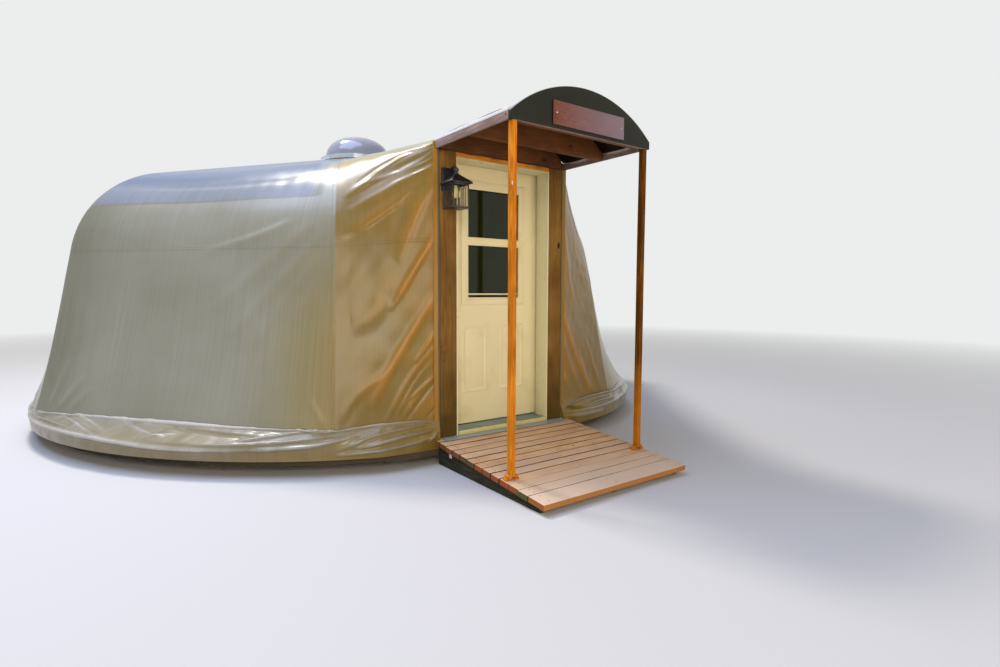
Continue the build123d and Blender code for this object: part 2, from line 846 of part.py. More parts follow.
lantern_x = -(opening_half_width + post_size / 2)
lantern_y = -(front_plane + lantern_stand_off)
lantern_base_height = post_top - lantern_drop
lantern_plate_height = post_top - lantern_plate_drop
glass_top = lantern_base_height + lantern_base_thickness + lantern_glass_height
apex_height = glass_top + lantern_roof_rise
with BuildPart() as lantern_body:
    with BuildSketch(Plane.XY.offset(lantern_base_height)):
        with Locations((lantern_x, lantern_y)):
            Rectangle(2 * lantern_half_width, 2 * lantern_half_width)
    extrude(amount=lantern_base_thickness)
    with BuildSketch(Plane.XY.offset(lantern_base_height + lantern_base_thickness)):
        with Locations((lantern_x, lantern_y)):
            bar_spacing = 2 * lantern_half_width - lantern_bar
            with GridLocations(bar_spacing, bar_spacing, 2, 2):
                Rectangle(lantern_bar, lantern_bar)
    extrude(amount=lantern_glass_height)
    with BuildSketch(Plane.XY.offset(glass_top)):
        with Locations((lantern_x, lantern_y)):
            Rectangle(2 * lantern_eave_half_width, 2 * lantern_eave_half_width)
    with BuildSketch(Plane.XY.offset(apex_height)):
        with Locations((lantern_x, lantern_y)):
            Rectangle(2 * finial_radius, 2 * finial_radius)
    loft(ruled=True)
    with BuildSketch(Plane.XY.offset(apex_height)):
        with Locations((lantern_x, lantern_y)):
            Circle(finial_radius)
    extrude(amount=finial_height)
    with BuildSketch(front_facing(-front_plane)):
        with Locations((lantern_x, lantern_plate_height)):
            Rectangle(lantern_plate[0], lantern_plate[2])
    extrude(amount=lantern_plate[1])
    with BuildSketch(front_facing(-front_plane)):
        with Locations((lantern_x, apex_height + finial_height / 2)):
            Circle(arm_radius)
    extrude(amount=lantern_stand_off)
save(lantern_body.part, "lantern_body")

with BuildPart() as lantern_bulb:
    bulb_centre = glass_top - bulb_drop
    with Locations((lantern_x, lantern_y, bulb_centre)):
        Sphere(bulb_radius)
    with BuildSketch(Plane.XY.offset(bulb_centre)):
        with Locations((lantern_x, lantern_y)):
            Circle(bulb_radius / 2)
    extrude(amount=glass_top - bulb_centre)
save(lantern_bulb.part, "lantern_bulb")
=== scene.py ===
"""The yurt's looks: coated cloth stretched over bent ribs, a rolled skirt, a timber doorway and its deck.

Everything is in metres, with +Z up, the door facing -Y and the origin on the ground under the crown.
Headings round the yurt count from the door, positive towards +X. A run is a distance along the cover's
outline, up from the crease in which the skirt leaves the wall.
"""

import logging
import math
from collections.abc import Callable
from dataclasses import dataclass, replace
from enum import Enum
from functools import partial

import bpy
import numpy as np
from mathutils import Matrix, Vector


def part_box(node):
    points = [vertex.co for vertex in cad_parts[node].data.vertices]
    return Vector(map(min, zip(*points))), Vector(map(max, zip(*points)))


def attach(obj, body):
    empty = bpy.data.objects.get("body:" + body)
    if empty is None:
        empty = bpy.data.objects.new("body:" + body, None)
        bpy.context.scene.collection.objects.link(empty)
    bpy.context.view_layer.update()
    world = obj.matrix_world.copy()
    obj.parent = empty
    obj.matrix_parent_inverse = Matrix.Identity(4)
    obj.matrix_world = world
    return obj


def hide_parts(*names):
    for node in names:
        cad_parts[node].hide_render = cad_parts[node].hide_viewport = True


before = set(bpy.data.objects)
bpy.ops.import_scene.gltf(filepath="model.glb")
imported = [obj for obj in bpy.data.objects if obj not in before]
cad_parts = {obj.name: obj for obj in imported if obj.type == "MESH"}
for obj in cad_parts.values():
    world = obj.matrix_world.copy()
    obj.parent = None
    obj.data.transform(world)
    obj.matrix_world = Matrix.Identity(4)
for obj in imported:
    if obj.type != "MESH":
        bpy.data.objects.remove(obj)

log = logging.getLogger("yurt")

HOUSE = "yurt"
DOOR = "door"
MM = 0.001

Array = np.ndarray
Piece = bpy.types.Object
Socket = bpy.types.NodeSocket
Pair = tuple[float, float]
Triple = tuple[float, float, float]


class Side(Enum):
    """The two halves of the yurt, as seen by someone who faces the door."""

    LEFT = -1
    RIGHT = 1


class Grain(Enum):
    """The way a board's fibres run."""

    ALONG_X = 0
    ALONG_Y = 1
    ALONG_Z = 2


# Tools of the bench


def deselect_all() -> None:
    """Leaves no object selected, in object mode."""
    active = bpy.context.view_layer.objects.active
    if active is not None and active.mode != "OBJECT":
        bpy.ops.object.mode_set(mode="OBJECT")
    bpy.ops.object.select_all(action="DESELECT")


def take_up(obj: Piece) -> None:
    """Makes one object the selected and active one."""
    deselect_all()
    obj.select_set(True)
    bpy.context.view_layer.objects.active = obj


def apply_modifier(obj: Piece, kind: str, **settings: object) -> None:
    """Adds a modifier with these settings and applies it.

    Args:
        obj: The piece that is worked on.
        kind: The modifier's type, such as BEVEL.
        settings: Its properties by name.
    """
    take_up(obj)
    modifier = obj.modifiers.new(kind.lower(), kind)
    for name, value in settings.items():
        setattr(modifier, name, value)
    bpy.ops.object.modifier_apply(modifier=modifier.name)


def subdivide(obj: Piece, cuts: int) -> None:
    """Cuts every face of a piece into a grid, so that it can bend.

    Args:
        obj: The piece.
        cuts: How many cuts each edge gets.
    """
    take_up(obj)
    bpy.ops.object.mode_set(mode="EDIT")
    bpy.ops.mesh.select_all(action="SELECT")
    bpy.ops.mesh.subdivide(number_cuts=cuts)
    bpy.ops.object.mode_set(mode="OBJECT")


def ease_edges(obj: Piece, width: float, segments: int = 2) -> None:
    """Rounds the sharp edges of a piece."""
    apply_modifier(obj, "BEVEL", width=width, segments=segments, limit_method="ANGLE")


def block(low: Triple, high: Triple, eased: float = 0.0) -> Piece:
    """A squared piece between two corners, with eased edges.

    Args:
        low: Its lowest corner.
        high: Its highest corner.
        eased: Radius of its edges, or 0 for sharp ones.

    Returns:
        The piece, with its place in its mesh.
    """
    deselect_all()
    size = Vector(high) - Vector(low)
    bpy.ops.mesh.primitive_cube_add(size=1, location=(Vector(low) + Vector(high)) / 2)
    obj = bpy.context.object
    obj.scale = size
    bpy.ops.object.transform_apply()
    if eased > 0:
        ease_edges(obj, eased)
    return obj


def turned(profile: list[Pair], steps: int = 40) -> Piece:
    """A piece turned round the Z axis, made from a disc by extruding and scaling.

    Args:
        profile: Radius and height of each ring, from the low end up.
        steps: How many sides it has.

    Returns:
        The closed piece, with its axis on Z.
    """
    deselect_all()
    radius, height = profile[0]
    centre = (0, 0, height)
    bpy.ops.mesh.primitive_circle_add(vertices=steps, radius=radius, fill_type="NGON", location=centre)
    obj = bpy.context.object
    bpy.ops.object.transform_apply()
    bpy.ops.object.mode_set(mode="EDIT")
    bpy.ops.mesh.select_all(action="SELECT")
    for next_radius, next_height in profile[1:]:
        bpy.ops.mesh.extrude_region_move(TRANSFORM_OT_translate={"value": (0, 0, next_height - height)})
        scale = next_radius / radius
        bpy.ops.transform.resize(value=(scale, scale, 1), center_override=(0, 0, next_height))
        radius, height = next_radius, next_height
    bpy.ops.mesh.select_all(action="SELECT")
    bpy.ops.mesh.normals_make_consistent(inside=False)
    bpy.ops.object.mode_set(mode="OBJECT")
    return obj


def point_along(obj: Piece, axis: Triple, place: Triple) -> None:
    """Turns a piece made on the Z axis so that it points along axis, and moves its foot to place."""
    turn = Vector((0, 0, 1)).rotation_difference(Vector(axis)).to_matrix().to_4x4()
    obj.data.transform(Matrix.Translation(place) @ turn)


def tube(points: list[Triple], radius: float, name: str) -> Piece:
    """A round wire or bead along a smooth line, as a mesh.

    Args:
        points: Control points of the line.
        radius: The wire's radius.
        name: The piece's name.

    Returns:
        The wire.
    """
    deselect_all()
    curve = bpy.data.curves.new(name, "CURVE")
    curve.dimensions = "3D"
    curve.bevel_depth = radius
    curve.bevel_resolution = 2
    curve.use_fill_caps = True
    spline = curve.splines.new("NURBS")
    spline.points.add(len(points) - 1)
    for point, place in zip(spline.points, points):
        point.co = (*place, 1)
    spline.order_u = 3
    spline.use_endpoint_u = True
    obj = bpy.data.objects.new(name, curve)
    bpy.context.scene.collection.objects.link(obj)
    take_up(obj)
    bpy.ops.object.convert(target="MESH")
    return bpy.context.object


def join(pieces: list[Piece]) -> Piece:
    """Joins pieces into the mesh of the first.

    Args:
        pieces: What is joined.

    Returns:
        The first piece, with all meshes in one.
    """
    take_up(pieces[0])
    for piece in pieces:
        piece.select_set(True)
    bpy.ops.object.join()
    return pieces[0]


def mark(obj: Piece, name: str, value: float | Array) -> None:
    """Writes one number on every point of a piece, or one for each, for its material to read."""
    attribute = obj.data.attributes.new(name, "FLOAT", "POINT")
    attribute.data.foreach_set("value", np.zeros(len(obj.data.vertices), np.float32) + np.float32(value))


def warp(obj: Piece, amount: float, wavelength: float, seed: int) -> None:
    """Moves a piece's points by a few gentle waves, so that nothing is dead straight.

    Args:
        obj: The piece, with enough points along its length.
        amount: The largest move of one wave.
        wavelength: The shortest wave.
        seed: Sets the waves' phases.
    """
    random = np.random.default_rng(seed)
    points = read_points(obj)
    moved = points.copy()
    for octave in (1, 2, 4):
        for axis in range(3):
            direction = random.normal(size=3)
            direction /= np.linalg.norm(direction)
            phase = points @ direction * 2 * math.pi / (wavelength * octave) + random.uniform(0, 2 * math.pi)
            moved[:, axis] += amount / 3 * np.sin(phase)
    write_points(obj, moved)


def read_points(obj: Piece) -> Array:
    """The piece's points as an array of rows."""
    points = np.empty(len(obj.data.vertices) * 3, np.float32)
    obj.data.vertices.foreach_get("co", points)
    return points.reshape(-1, 3).astype(float)


def write_points(obj: Piece, points: Array) -> None:
    """Gives the piece's points new places."""
    obj.data.vertices.foreach_set("co", points.astype(np.float32).ravel())
    obj.data.update()


def part_way(value: float | Array, start: float, end: float) -> Array:
    """How far a value has come on its way from start to end, held at 0 and 1."""
    return np.clip((value - start) / (end - start), 0, 1)


def boxed(node: str) -> tuple[Vector, Vector]:
    """The lowest and highest corner of a CAD node."""
    low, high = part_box(node)
    return Vector(low), Vector(high)


def dress_copy(
    node: str, finish: "Finish", eased: float = 0.002, body: str = HOUSE
) -> Piece:
    """Puts a dressed copy, with flat faces whole and edges rounded, in the place of a CAD node.

    Args:
        node: The CAD node, whose name the copy takes with an ending.
        finish: What it is made of.
        eased: Radius of its edges.
        body: The body that carries it.

    Returns:
        The copy.
    """
    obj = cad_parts[node].copy()
    obj.data = obj.data.copy()
    bpy.context.scene.collection.objects.link(obj)
    apply_modifier(obj, "WELD", merge_threshold=0.00005)
    apply_modifier(obj, "DECIMATE", decimate_type="DISSOLVE", angle_limit=math.radians(2))
    ease_edges(obj, eased)
    finish_piece(obj, f"{node}_dressed", finish, body)
    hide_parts(node)
    return obj


def finish_piece(
    obj: Piece, name: str, finish: "Finish", body: str = HOUSE, smooth_deg: float = 35.0
) -> Piece:
    """Names a piece, shades and dresses it, and lets it ride on a body.

    Args:
        obj: The finished shape, with its place in its mesh.
        name: The piece's name.
        finish: What it is made of.
        body: The body that carries it.
        smooth_deg: Edges sharper than this stay sharp.

    Returns:
        The piece.
    """
    take_up(obj)
    bpy.ops.object.transform_apply()
    bpy.ops.object.shade_smooth_by_angle(angle=math.radians(smooth_deg))
    obj.name = name
    obj.data.name = name
    obj.data.materials.clear()
    obj.data.materials.append(finish.material())
    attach(obj, body)
    log.info("%s: %d faces", name, len(obj.data.polygons))
    return obj


# Finishes

Add = Callable[..., Socket]

# A Mix node takes its two colours at inputs 6 and 7 and gives the result at output 2.
TINT = {"out": 2, "data_type": "RGBA", "blend_type": "MULTIPLY", "clamp_result": True}
COVER = {"out": 2, "data_type": "RGBA", "blend_type": "MIX", "clamp_result": True}


def linear(hex_colour: str) -> tuple[float, float, float, float]:
    """An sRGB hex colour as linear red, green, blue and full alpha."""
    parts = [int(hex_colour[i : i + 2], 16) / 255 for i in (1, 3, 5)]
    red, green, blue = (p / 12.92 if p <= 0.04045 else ((p + 0.055) / 1.055) ** 2.4 for p in parts)
    return (red, green, blue, 1.0)


def feed(tree: bpy.types.NodeTree, node: bpy.types.Node, sockets: dict[str | int, object]) -> None:
    """Sets a node's inputs to values, or links them to the outputs of other nodes.

    Args:
        tree: The node tree.
        node: The node that is fed.
        sockets: Its inputs by name or number.
    """
    for key, value in sockets.items():
        if isinstance(value, Socket):
            tree.links.new(value, node.inputs[key])
        else:
            node.inputs[key].default_value = value


def add_node(
    tree: bpy.types.NodeTree,
    kind: str,
    *inputs: object,
    out: int | str = 0,
    sockets: dict[str | int, object] | None = None,
    stops: tuple[tuple[float, str], ...] = (),
    **settings: object,
) -> Socket:
    """Adds one node with its settings and links.

    Args:
        tree: The node tree that it joins.
        kind: The node's type, without the leading ShaderNode.
        inputs: Its first inputs in order, each a value or another node's output.
        out: The output that is wanted.
        sockets: Further inputs by name or number.
        stops: Places and hex colours of a ramp.
        settings: Its properties by name.

    Returns:
        The wanted output.
    """
    node = tree.nodes.new(f"ShaderNode{kind}")
    for name, value in settings.items():
        setattr(node, name, value)
    feed(tree, node, {**dict(enumerate(inputs)), **(sockets or {})})
    if stops:
        elements = node.color_ramp.elements
        while len(elements) < len(stops):
            elements.new(0.5)
        for element, (place, colour) in zip(elements, stops):
            element.position = place
            element.color = linear(colour)
    return node.outputs[out]


@dataclass(frozen=True)
class Finish:
    """What a surface is made of. Each kind of finish fills in the shader's inputs."""

    name: str

    def material(self) -> bpy.types.Material:
        """The finish's material, made the first time it is asked for.

        Returns:
            The material.
        """
        made = bpy.data.materials.get(self.name)
        if made is None:
            made = bpy.data.materials.new(self.name)
            made.use_nodes = True
            tree = made.node_tree
            feed(tree, tree.nodes["Principled BSDF"], self.surface(partial(add_node, tree)))
        return made

    def surface(self, add: Add) -> dict[str | int, object]:
        """The shader's inputs by name, from nodes that add makes."""
        raise NotImplementedError


@dataclass(frozen=True)
class CoatedCloth(Finish):
    """Polyester canvas with a glossy weatherproof coat: a fine upright weave, streaky dye, sewn seams.

    The coat gives it a broad soft sheen. The weave is drawn coarser than real threads, so that it shows.
    """

    # The tones hold painted light: 0 and 0.05 are a painted bluish sky reflection for the roof, 0.08 is
    # painted shade on the front bays' far side, 0.10 is the grey wall, and 0.32 to 1 are painted warm light
    # that turns the cloth golden towards the door.
    tones: tuple[tuple[float, str], ...] = (
        *((0.0, "#5f6f86"), (0.05, "#848b96"), (0.08, "#7c7b69"), (0.10, "#919182"), (0.32, "#8f8661")),
        *((0.50, "#92804f"), (0.60, "#847040"), (0.70, "#866f32"), (0.85, "#9c752f"), (1.0, "#bd8842")),
    )
    underside: str = ""
    shine: float = 1.0
    streak_mm: float = 14.0
    thread_mm: float = 3.0
    rib_seam: Pair = (0.004, 0.027)
    wall_seam: Pair = (1.300, 1.318)
    foot_rows: tuple[float, ...] = (0.044, 0.062)
    thread_colour: str = "#8a806a"
    relief_mm: float = 1.4

    def rows(self, add: Add, value: Socket, places: tuple[float, ...]) -> object:
        """Thin stitched lines where value passes these places, from 0 to 1.

        Args:
            add: Adds nodes to the material.
            value: Distance from an edge or the foot.
            places: Where the rows of stitches run.

        Returns:
            1 on the stitches, 0 between them.
        """
        total: object = 0.0
        for place in places:
            off = add("Math", add("Math", value, place, operation="SUBTRACT"), operation="ABSOLUTE")
            line = add("MapRange", off, 0.0008, 0.0028, 1.0, 0.0)
            total = add("Math", total, line, operation="MAXIMUM")
        return total

    def band(self, add: Add, value: Socket, ends: Pair) -> Socket:
        """1 where the cloth lies double between two places, 0 elsewhere."""
        middle, half = sum(ends) / 2, (ends[1] - ends[0]) / 2 + 0.004
        off = add("Math", add("Math", value, middle, operation="SUBTRACT"), operation="ABSOLUTE")
        return add("MapRange", off, half, half + 0.002, 1.0, 0.0)

    def surface(self, add: Add) -> dict[str | int, object]:
        """Colour from the tone attribute, which carries painted light, streaks along the warp, gloss broken
        by weave and seams.

        Args:
            add: Adds nodes to the material.

        Returns:
            The shader's inputs by name.
        """
        flat = add("UVMap", uv_map="cut")
        up = add("SeparateXYZ", flat, out=1)
        edge = add("Attribute", attribute_name="edge", out="Fac")
        tone = add("Attribute", attribute_name="tone", out="Fac")

        warp_ways = add("Mapping", flat, sockets={"Scale": (1 / (self.streak_mm * MM), 0.9, 1)})
        streaks = add("TexNoise", warp_ways, sockets={"Scale": 1.0, "Detail": 4.0, "Roughness": 0.6})
        streaky = add("ValToRGB", streaks, stops=((0.25, "#ebe9e3"), (0.75, "#ffffff")))
        clouds = add("TexNoise", flat, sockets={"Scale": 1.3, "Detail": 3.0})
        cloudy = add("ValToRGB", clouds, stops=((0.3, "#dcd8cc"), (0.7, "#ffffff")))
        # The tone ramp paints sky reflection, shade and warm light into the cloth's colour.
        colour = add("ValToRGB", tone, stops=self.tones)
        colour = add("Mix", 1.0, sockets={6: colour, 7: streaky}, **TINT)
        colour = add("Mix", 0.6, sockets={6: colour, 7: cloudy}, **TINT)

        rib_rows, wall_rows = self.rows(add, edge, self.rib_seam), self.rows(add, up, self.wall_seam)
        foot_rows = add("Math", self.rows(add, up, self.foot_rows), 0.3, operation="MULTIPLY")
        seams = add("Math", rib_rows, wall_rows, operation="MAXIMUM")
        stitches = add("Math", seams, foot_rows, operation="MAXIMUM")
        thread = add("Math", stitches, 0.27, operation="MULTIPLY")
        colour = add("Mix", thread, sockets={6: colour, 7: linear(self.thread_colour)}, **TINT)
        # Faces that look down take the near-black underside colour.
        if self.underside:
            down = add("SeparateXYZ", add("TexCoord", out="Normal"), out=2)
            under = add("MapRange", down, -0.1, 0.0, 1.0, 0.0)
            colour = add("Mix", under, sockets={6: colour, 7: linear(self.underside)}, **COVER)

        threads = add("Mapping", flat, sockets={"Scale": (1 / (self.thread_mm * MM), 60.0, 1)})
        weave = add("TexNoise", threads, sockets={"Scale": 1.0})
        gathers = add("Mapping", flat, sockets={"Scale": (4.0, 30.0, 1)})
        pucker = add("TexNoise", gathers, sockets={"Scale": 1.0, "Detail": 1.0})
        by_seam = add("MapRange", edge, 0.0, 0.09, 2.2, 0.0)
        rib_band, wall_band = self.band(add, edge, self.rib_seam), self.band(add, up, self.wall_seam)
        raised = add("Math", rib_band, wall_band, operation="MAXIMUM")
        raised = add("Math", stitches, -0.6, raised, operation="MULTIPLY_ADD")
        raised = add("Math", pucker, by_seam, raised, operation="MULTIPLY_ADD")
        raised = add("Math", weave, 0.09, raised, operation="MULTIPLY_ADD")

        sheen = add("MapRange", tone, 0.05, 0.10, 0.14, 0.36)
        golden_sheen = add("MapRange", tone, 0.3, 1.0, 0.36, 0.14)
        gloss = add("Math", sheen, golden_sheen, operation="MINIMUM")
        gloss = add("Math", gloss, self.shine, operation="MULTIPLY")
        return {
            "Base Color": colour,
            "Roughness": add("Math", streaks, 0.08, 0.25, operation="MULTIPLY_ADD"),
            "Specular IOR Level": gloss,
            "Coat Weight": add("Math", gloss, 0.4, operation="MULTIPLY"),
            "Coat Roughness": 0.22,
            "Normal": add("Bump", 0.6, self.relief_mm * MM, sockets={"Height": raised}),
        }


@dataclass(frozen=True)
class Timber(Finish):
    """Sawn softwood: long fibres and rings along the grain, knots, and stain that sank in unevenly."""

    light: str
    dark: str
    knot: str
    end: str
    grain: Grain = Grain.ALONG_Z
    ring_mm: float = 16.0
    fibre_mm: float = 2.2
    knots_per_m: float = 2.2
    roughness: float = 0.62
    depth_mm: float = 0.6
    gloss: float = 0.2
    rings: float = 0.42
    blotch: str = "#a89c8c"
    faded: str = ""
    # Side faces that look along Y; on the deck boards the dark colour is painted shade in the gaps.
    edges: str = ""
    warm_end: str = ""
    # A colour towards the foot: dark damp on the door posts; orange painted light on the shaded porch post's
    # lower part.
    damp: str = ""

    def drawn_out(self, add: Add, place: Socket, share: float) -> Socket:
        """A place in which patterns come out long along the grain."""
        scales = [1.0, 1.0, 1.0]
        scales[self.grain.value] = share
        return add("Mapping", place, sockets={"Scale": tuple(scales)})

    def facing(self, add: Add, axis: int) -> Socket:
        """1 on faces that look along an axis, 0 on the others."""
        part = add("SeparateXYZ", add("TexCoord", out="Normal"), out=axis)
        return add("MapRange", add("Math", part, operation="ABSOLUTE"), 0.7, 0.9)

    def figure(self, add: Add, place: Socket, knots: Socket) -> Socket:
        """Growth rings, bent round the knots, and fibres, from 0 to 1.

        Args:
            add: Adds nodes to the material.
            place: The place in the wood.
            knots: Distance from the nearest knot.

        Returns:
            0 on dark wood, 1 on light wood.
        """
        ring_scale, fibre_scale = 1 / (self.ring_mm * MM * 3), 1 / (self.fibre_mm * MM)
        near_knot = add("MapRange", knots, 0.02, 0.22, 1.0, 0.0)
        broad = add("TexNoise", self.drawn_out(add, place, 0.055), sockets={"Scale": ring_scale})
        turns = add("Math", broad, 9.0, operation="MULTIPLY")
        turns = add("Math", near_knot, 2.5, turns, operation="MULTIPLY_ADD")
        wave = add("Math", add("Math", turns, 6.283, operation="MULTIPLY"), operation="SINE")
        rings = add("Math", wave, 0.5, 0.5, operation="MULTIPLY_ADD")
        fine = {"Scale": fibre_scale, "Detail": 4.0, "Roughness": 0.6}
        fibres = add("TexNoise", self.drawn_out(add, place, 0.015), sockets=fine)
        fibres = add("Math", fibres, 1 - self.rings, operation="MULTIPLY")
        return add("Math", rings, self.rings, fibres, operation="MULTIPLY_ADD")

    def surface(self, add: Add) -> dict[str | int, object]:
        """Rings and fibres stretched along the grain, with knots; faded places, side faces in a colour of
        their own (painted shade in the deck's gaps), a colour towards the foot (damp on the door posts,
        painted light on the shaded porch post); other ends.

        Args:
            add: Adds nodes to the material.

        Returns:
            The shader's inputs by name.
        """
        own = add("TexCoord", out="Object")
        board = add("Attribute", attribute_name="board", out="Fac")
        place = add("VectorMath", own, board, operation="ADD")
        knot_scale = {"Scale": self.knots_per_m * 2.2}
        knots = add("TexVoronoi", self.drawn_out(add, place, 0.45), out="Distance", sockets=knot_scale)
        figure = self.figure(add, place, knots)
        stain = add("TexNoise", place, sockets={"Scale": 3.1, "Detail": 4.0})
        stain = add("ValToRGB", stain, stops=((0.3, self.blotch), (0.65, "#ffffff")))
        colour = add("ValToRGB", figure, stops=((0.25, self.dark), (0.72, self.light)))
        colour = add("Mix", 0.7, sockets={6: colour, 7: stain}, **TINT)

        patches = [(add("MapRange", knots, 0.045, 0.075, 1.0, 0.0), linear(self.knot))]
        if self.faded:
            patches.append((add("Attribute", attribute_name="fade", out="Fac"), linear(self.faded)))
        if self.edges:
            patches.append((self.facing(add, 1), linear(self.edges)))
        if self.damp:
            uneven = add("TexNoise", place, sockets={"Scale": 7.0, "Detail": 3.0})
            height = add("Math", uneven, 0.5, add("SeparateXYZ", own, out=2), operation="MULTIPLY_ADD")
            patches.append((add("MapRange", height, 0.5, 1.15, 0.75, 0.0), linear(self.damp)))
        end = linear(self.end)
        if self.warm_end:
            spots = add("TexNoise", place, sockets={"Scale": 1.7, "Detail": 1.0})
            end = add("ValToRGB", spots, stops=((0.42, self.end), (0.6, self.warm_end)))
        patches.append((self.facing(add, self.grain.value), end))
        for share, patch in patches:
            colour = add("Mix", share, sockets={6: colour, 7: patch}, **COVER)
        return {
            "Base Color": colour,
            "Roughness": add("MapRange", figure, 0.2, 0.8, self.roughness + 0.12, self.roughness - 0.08),
            "Specular IOR Level": self.gloss,
            "Normal": add("Bump", 0.7, self.depth_mm * MM, sockets={"Height": figure}),
        }


@dataclass(frozen=True)
class Paint(Finish):
    """Brushed or sprayed paint over a smooth base, with a little grime and a faint orange peel."""

    colour: str
    grime: str
    roughness: float = 0.38
    peel_mm: float = 6.0
    metallic: float = 0.0
    gloss: float = 0.4

    def surface(self, add: Add) -> dict[str | int, object]:
        """Even colour, dirtied by broad clouds, under a slightly uneven gloss.

        Args:
            add: Adds nodes to the material.

        Returns:
            The shader's inputs by name.
        """
        place = add("TexCoord", out="Object")
        clouds = add("TexNoise", place, sockets={"Scale": 4.0, "Detail": 6.0, "Roughness": 0.62})
        peel = add("TexNoise", place, sockets={"Scale": 1 / (self.peel_mm * MM)})
        dirt = add("MapRange", clouds, 0.52, 0.78, 0.0, 0.75)
        return {
            "Base Color": add("Mix", dirt, sockets={6: linear(self.colour), 7: linear(self.grime)}, **COVER),
            "Roughness": add("MapRange", clouds, 0.3, 0.7, self.roughness - 0.05, self.roughness + 0.1),
            "Metallic": self.metallic,
            "Specular IOR Level": self.gloss,
            "Normal": add("Bump", 0.35, 0.12 * MM, sockets={"Height": peel}),
        }


@dataclass(frozen=True)
class Clear(Finish):
    """Clear or tinted sheet, such as glass or acrylic."""

    tint: str
    ior: float
    roughness: float = 0.02
    through: float = 1.0

    def surface(self, add: Add) -> dict[str | int, object]:
        """Light goes through the tint; a film of dust breaks the gloss a little.

        Args:
            add: Adds nodes to the material.

        Returns:
            The shader's inputs by name.
        """
        grains = {"Scale": 9.0, "Detail": 5.0, "Roughness": 0.6}
        dust = add("TexNoise", add("TexCoord", out="Object"), sockets=grains)
        return {
            "Base Color": linear(self.tint),
            "IOR": self.ior,
            "Transmission Weight": self.through,
            "Roughness": add("MapRange", dust, 0.4, 0.8, self.roughness, self.roughness + 0.08),
        }


@dataclass(frozen=True)
class Cement(Finish):
    """Cast concrete block: grey, pitted and sandy."""

    colour: str = "#8c8980"

    def surface(self, add: Add) -> dict[str | int, object]:
        """Sand grains over broad damp clouds.

        Args:
            add: Adds nodes to the material.

        Returns:
            The shader's inputs by name.
        """
        place = add("TexCoord", out="Object")
        sand = add("TexNoise", place, sockets={"Scale": 420.0, "Detail": 3.0})
        damp = add("TexNoise", place, sockets={"Scale": 7.0, "Detail": 4.0})
        damp = add("ValToRGB", damp, stops=((0.3, "#8f8b80"), (0.7, "#ffffff")))
        return {
            "Base Color": add("Mix", 0.8, sockets={6: linear(self.colour), 7: damp}, **TINT),
            "Roughness": 0.88,
            "Normal": add("Bump", 0.8, 0.9 * MM, sockets={"Height": sand}),
        }


CLOTH = CoatedCloth("coated_canvas")
# Its palest tones are the painted highlight on the skirt's crests; its golden ones are painted warm light by
# the door.
SKIRT_CLOTH = CoatedCloth(
    "skirt_canvas_painted_highlight",
    tones=((0.0, "#c9c6c1"), (0.18, "#9b978a"), (0.42, "#857c62"), (0.7, "#866f34"), (1.0, "#705820")),
    shine=1.3,
)
# Golden like the door bay, with the same painted warm light; the left hem takes the lighter tone 1, the right
# one the darker tone 0.
HEM_CLOTH = CoatedCloth("hem_canvas", tones=((0.0, "#96742f"), (1.0, "#a87f38")))
# Canvas whose faces that look down are near-black, for the awning's underside.
DARK_UNDERSIDE_CLOTH = CoatedCloth("canvas_dark_underneath", underside="#120f0c")
POST_TIMBER = Timber(
    "weathered_brown_timber", "#8f6c38", "#6c4d20", "#2c1a09", "#4a3a1c",
    ring_mm=26.0, fibre_mm=3.0, depth_mm=0.5, gloss=0.06, rings=0.16, damp="#3e3512",
)
STAINED_POST = Timber(
    "orange_stained_pine", "#da8b26", "#ba660c", "#6b3810", "#c07c26",
    knots_per_m=1.4, depth_mm=0.4, gloss=0.08,
)
# The same orange stain as the left porch post, darkened as painted shade for the right post; its foot colour
# is painted light, orange again on the lower part.
SHADED_STAINED_POST = replace(
    STAINED_POST, name="stained_pine_painted_shade", light="#70440c", dark="#502f06", knot="#3c2008", end="#7c5218",
    gloss=0.06, damp="#c0741a",
)
HEAD_STRIP = Timber(
    "orange_stained_head_board", "#faa83a", "#c67b20", "#4a2a0c", "#a8661e", Grain.ALONG_X, roughness=0.55
)
AWNING_TIMBER = Timber(
    "brown_awning_board", "#7e5029", "#5a361a", "#2a170a", "#2c1a0c", Grain.ALONG_X,
    roughness=0.66, rings=0.18,
)
FASCIA_TIMBER = Timber(
    "greyed_side_band", "#a58f84", "#7e6a5e", "#4a3a30", "#66564c", Grain.ALONG_Y, roughness=0.75, rings=0.2
)
PLAQUE_TIMBER = Timber(
    "walnut_plaque", "#7c4c38", "#54291c", "#2a1812", "#2a1a12", Grain.ALONG_X,
    ring_mm=7.0, roughness=0.4, rings=0.25, faded="#7d7482",
)
# Its dark side faces are painted shade in the gaps between the boards.
DECK_TIMBER = Timber(
    "treated_deck_board", "#dcb68a", "#c29566", "#6b4a2c", "#4f4c2c", Grain.ALONG_X,
    ring_mm=20.0, knots_per_m=3.0, roughness=0.72, rings=0.2, blotch="#d4c6b8", faded="#c3ab92",
    edges="#4a2c14", warm_end="#8e4a26",
)
FRONT_BOARD = replace(
    DECK_TIMBER, name="front_deck_board", light="#d9b288", dark="#c0966a", end="#8e5a2e", faded="#c6b09a",
    edges="#a8713c", warm_end="",
)
JOIST_TIMBER = Timber(
    "green_black_lumber", "#3e3d2c", "#23241a", "#15150f", "#4a4030", Grain.ALONG_Y, roughness=0.8
)
RIB_TIMBER = Timber("bent_ash_rib", "#c39a66", "#9d7343", "#6e4a26", "#a07c50", roughness=0.5)
FLOOR_PLY = Timber("floor_plywood", "#b99768", "#957246", "#6d4a26", "#8b6c44", Grain.ALONG_X, ring_mm=60.0)
GABLE_PAINT = Paint("green_black_gable_paint", "#20221a", "#292a22", roughness=0.5, gloss=0.15)
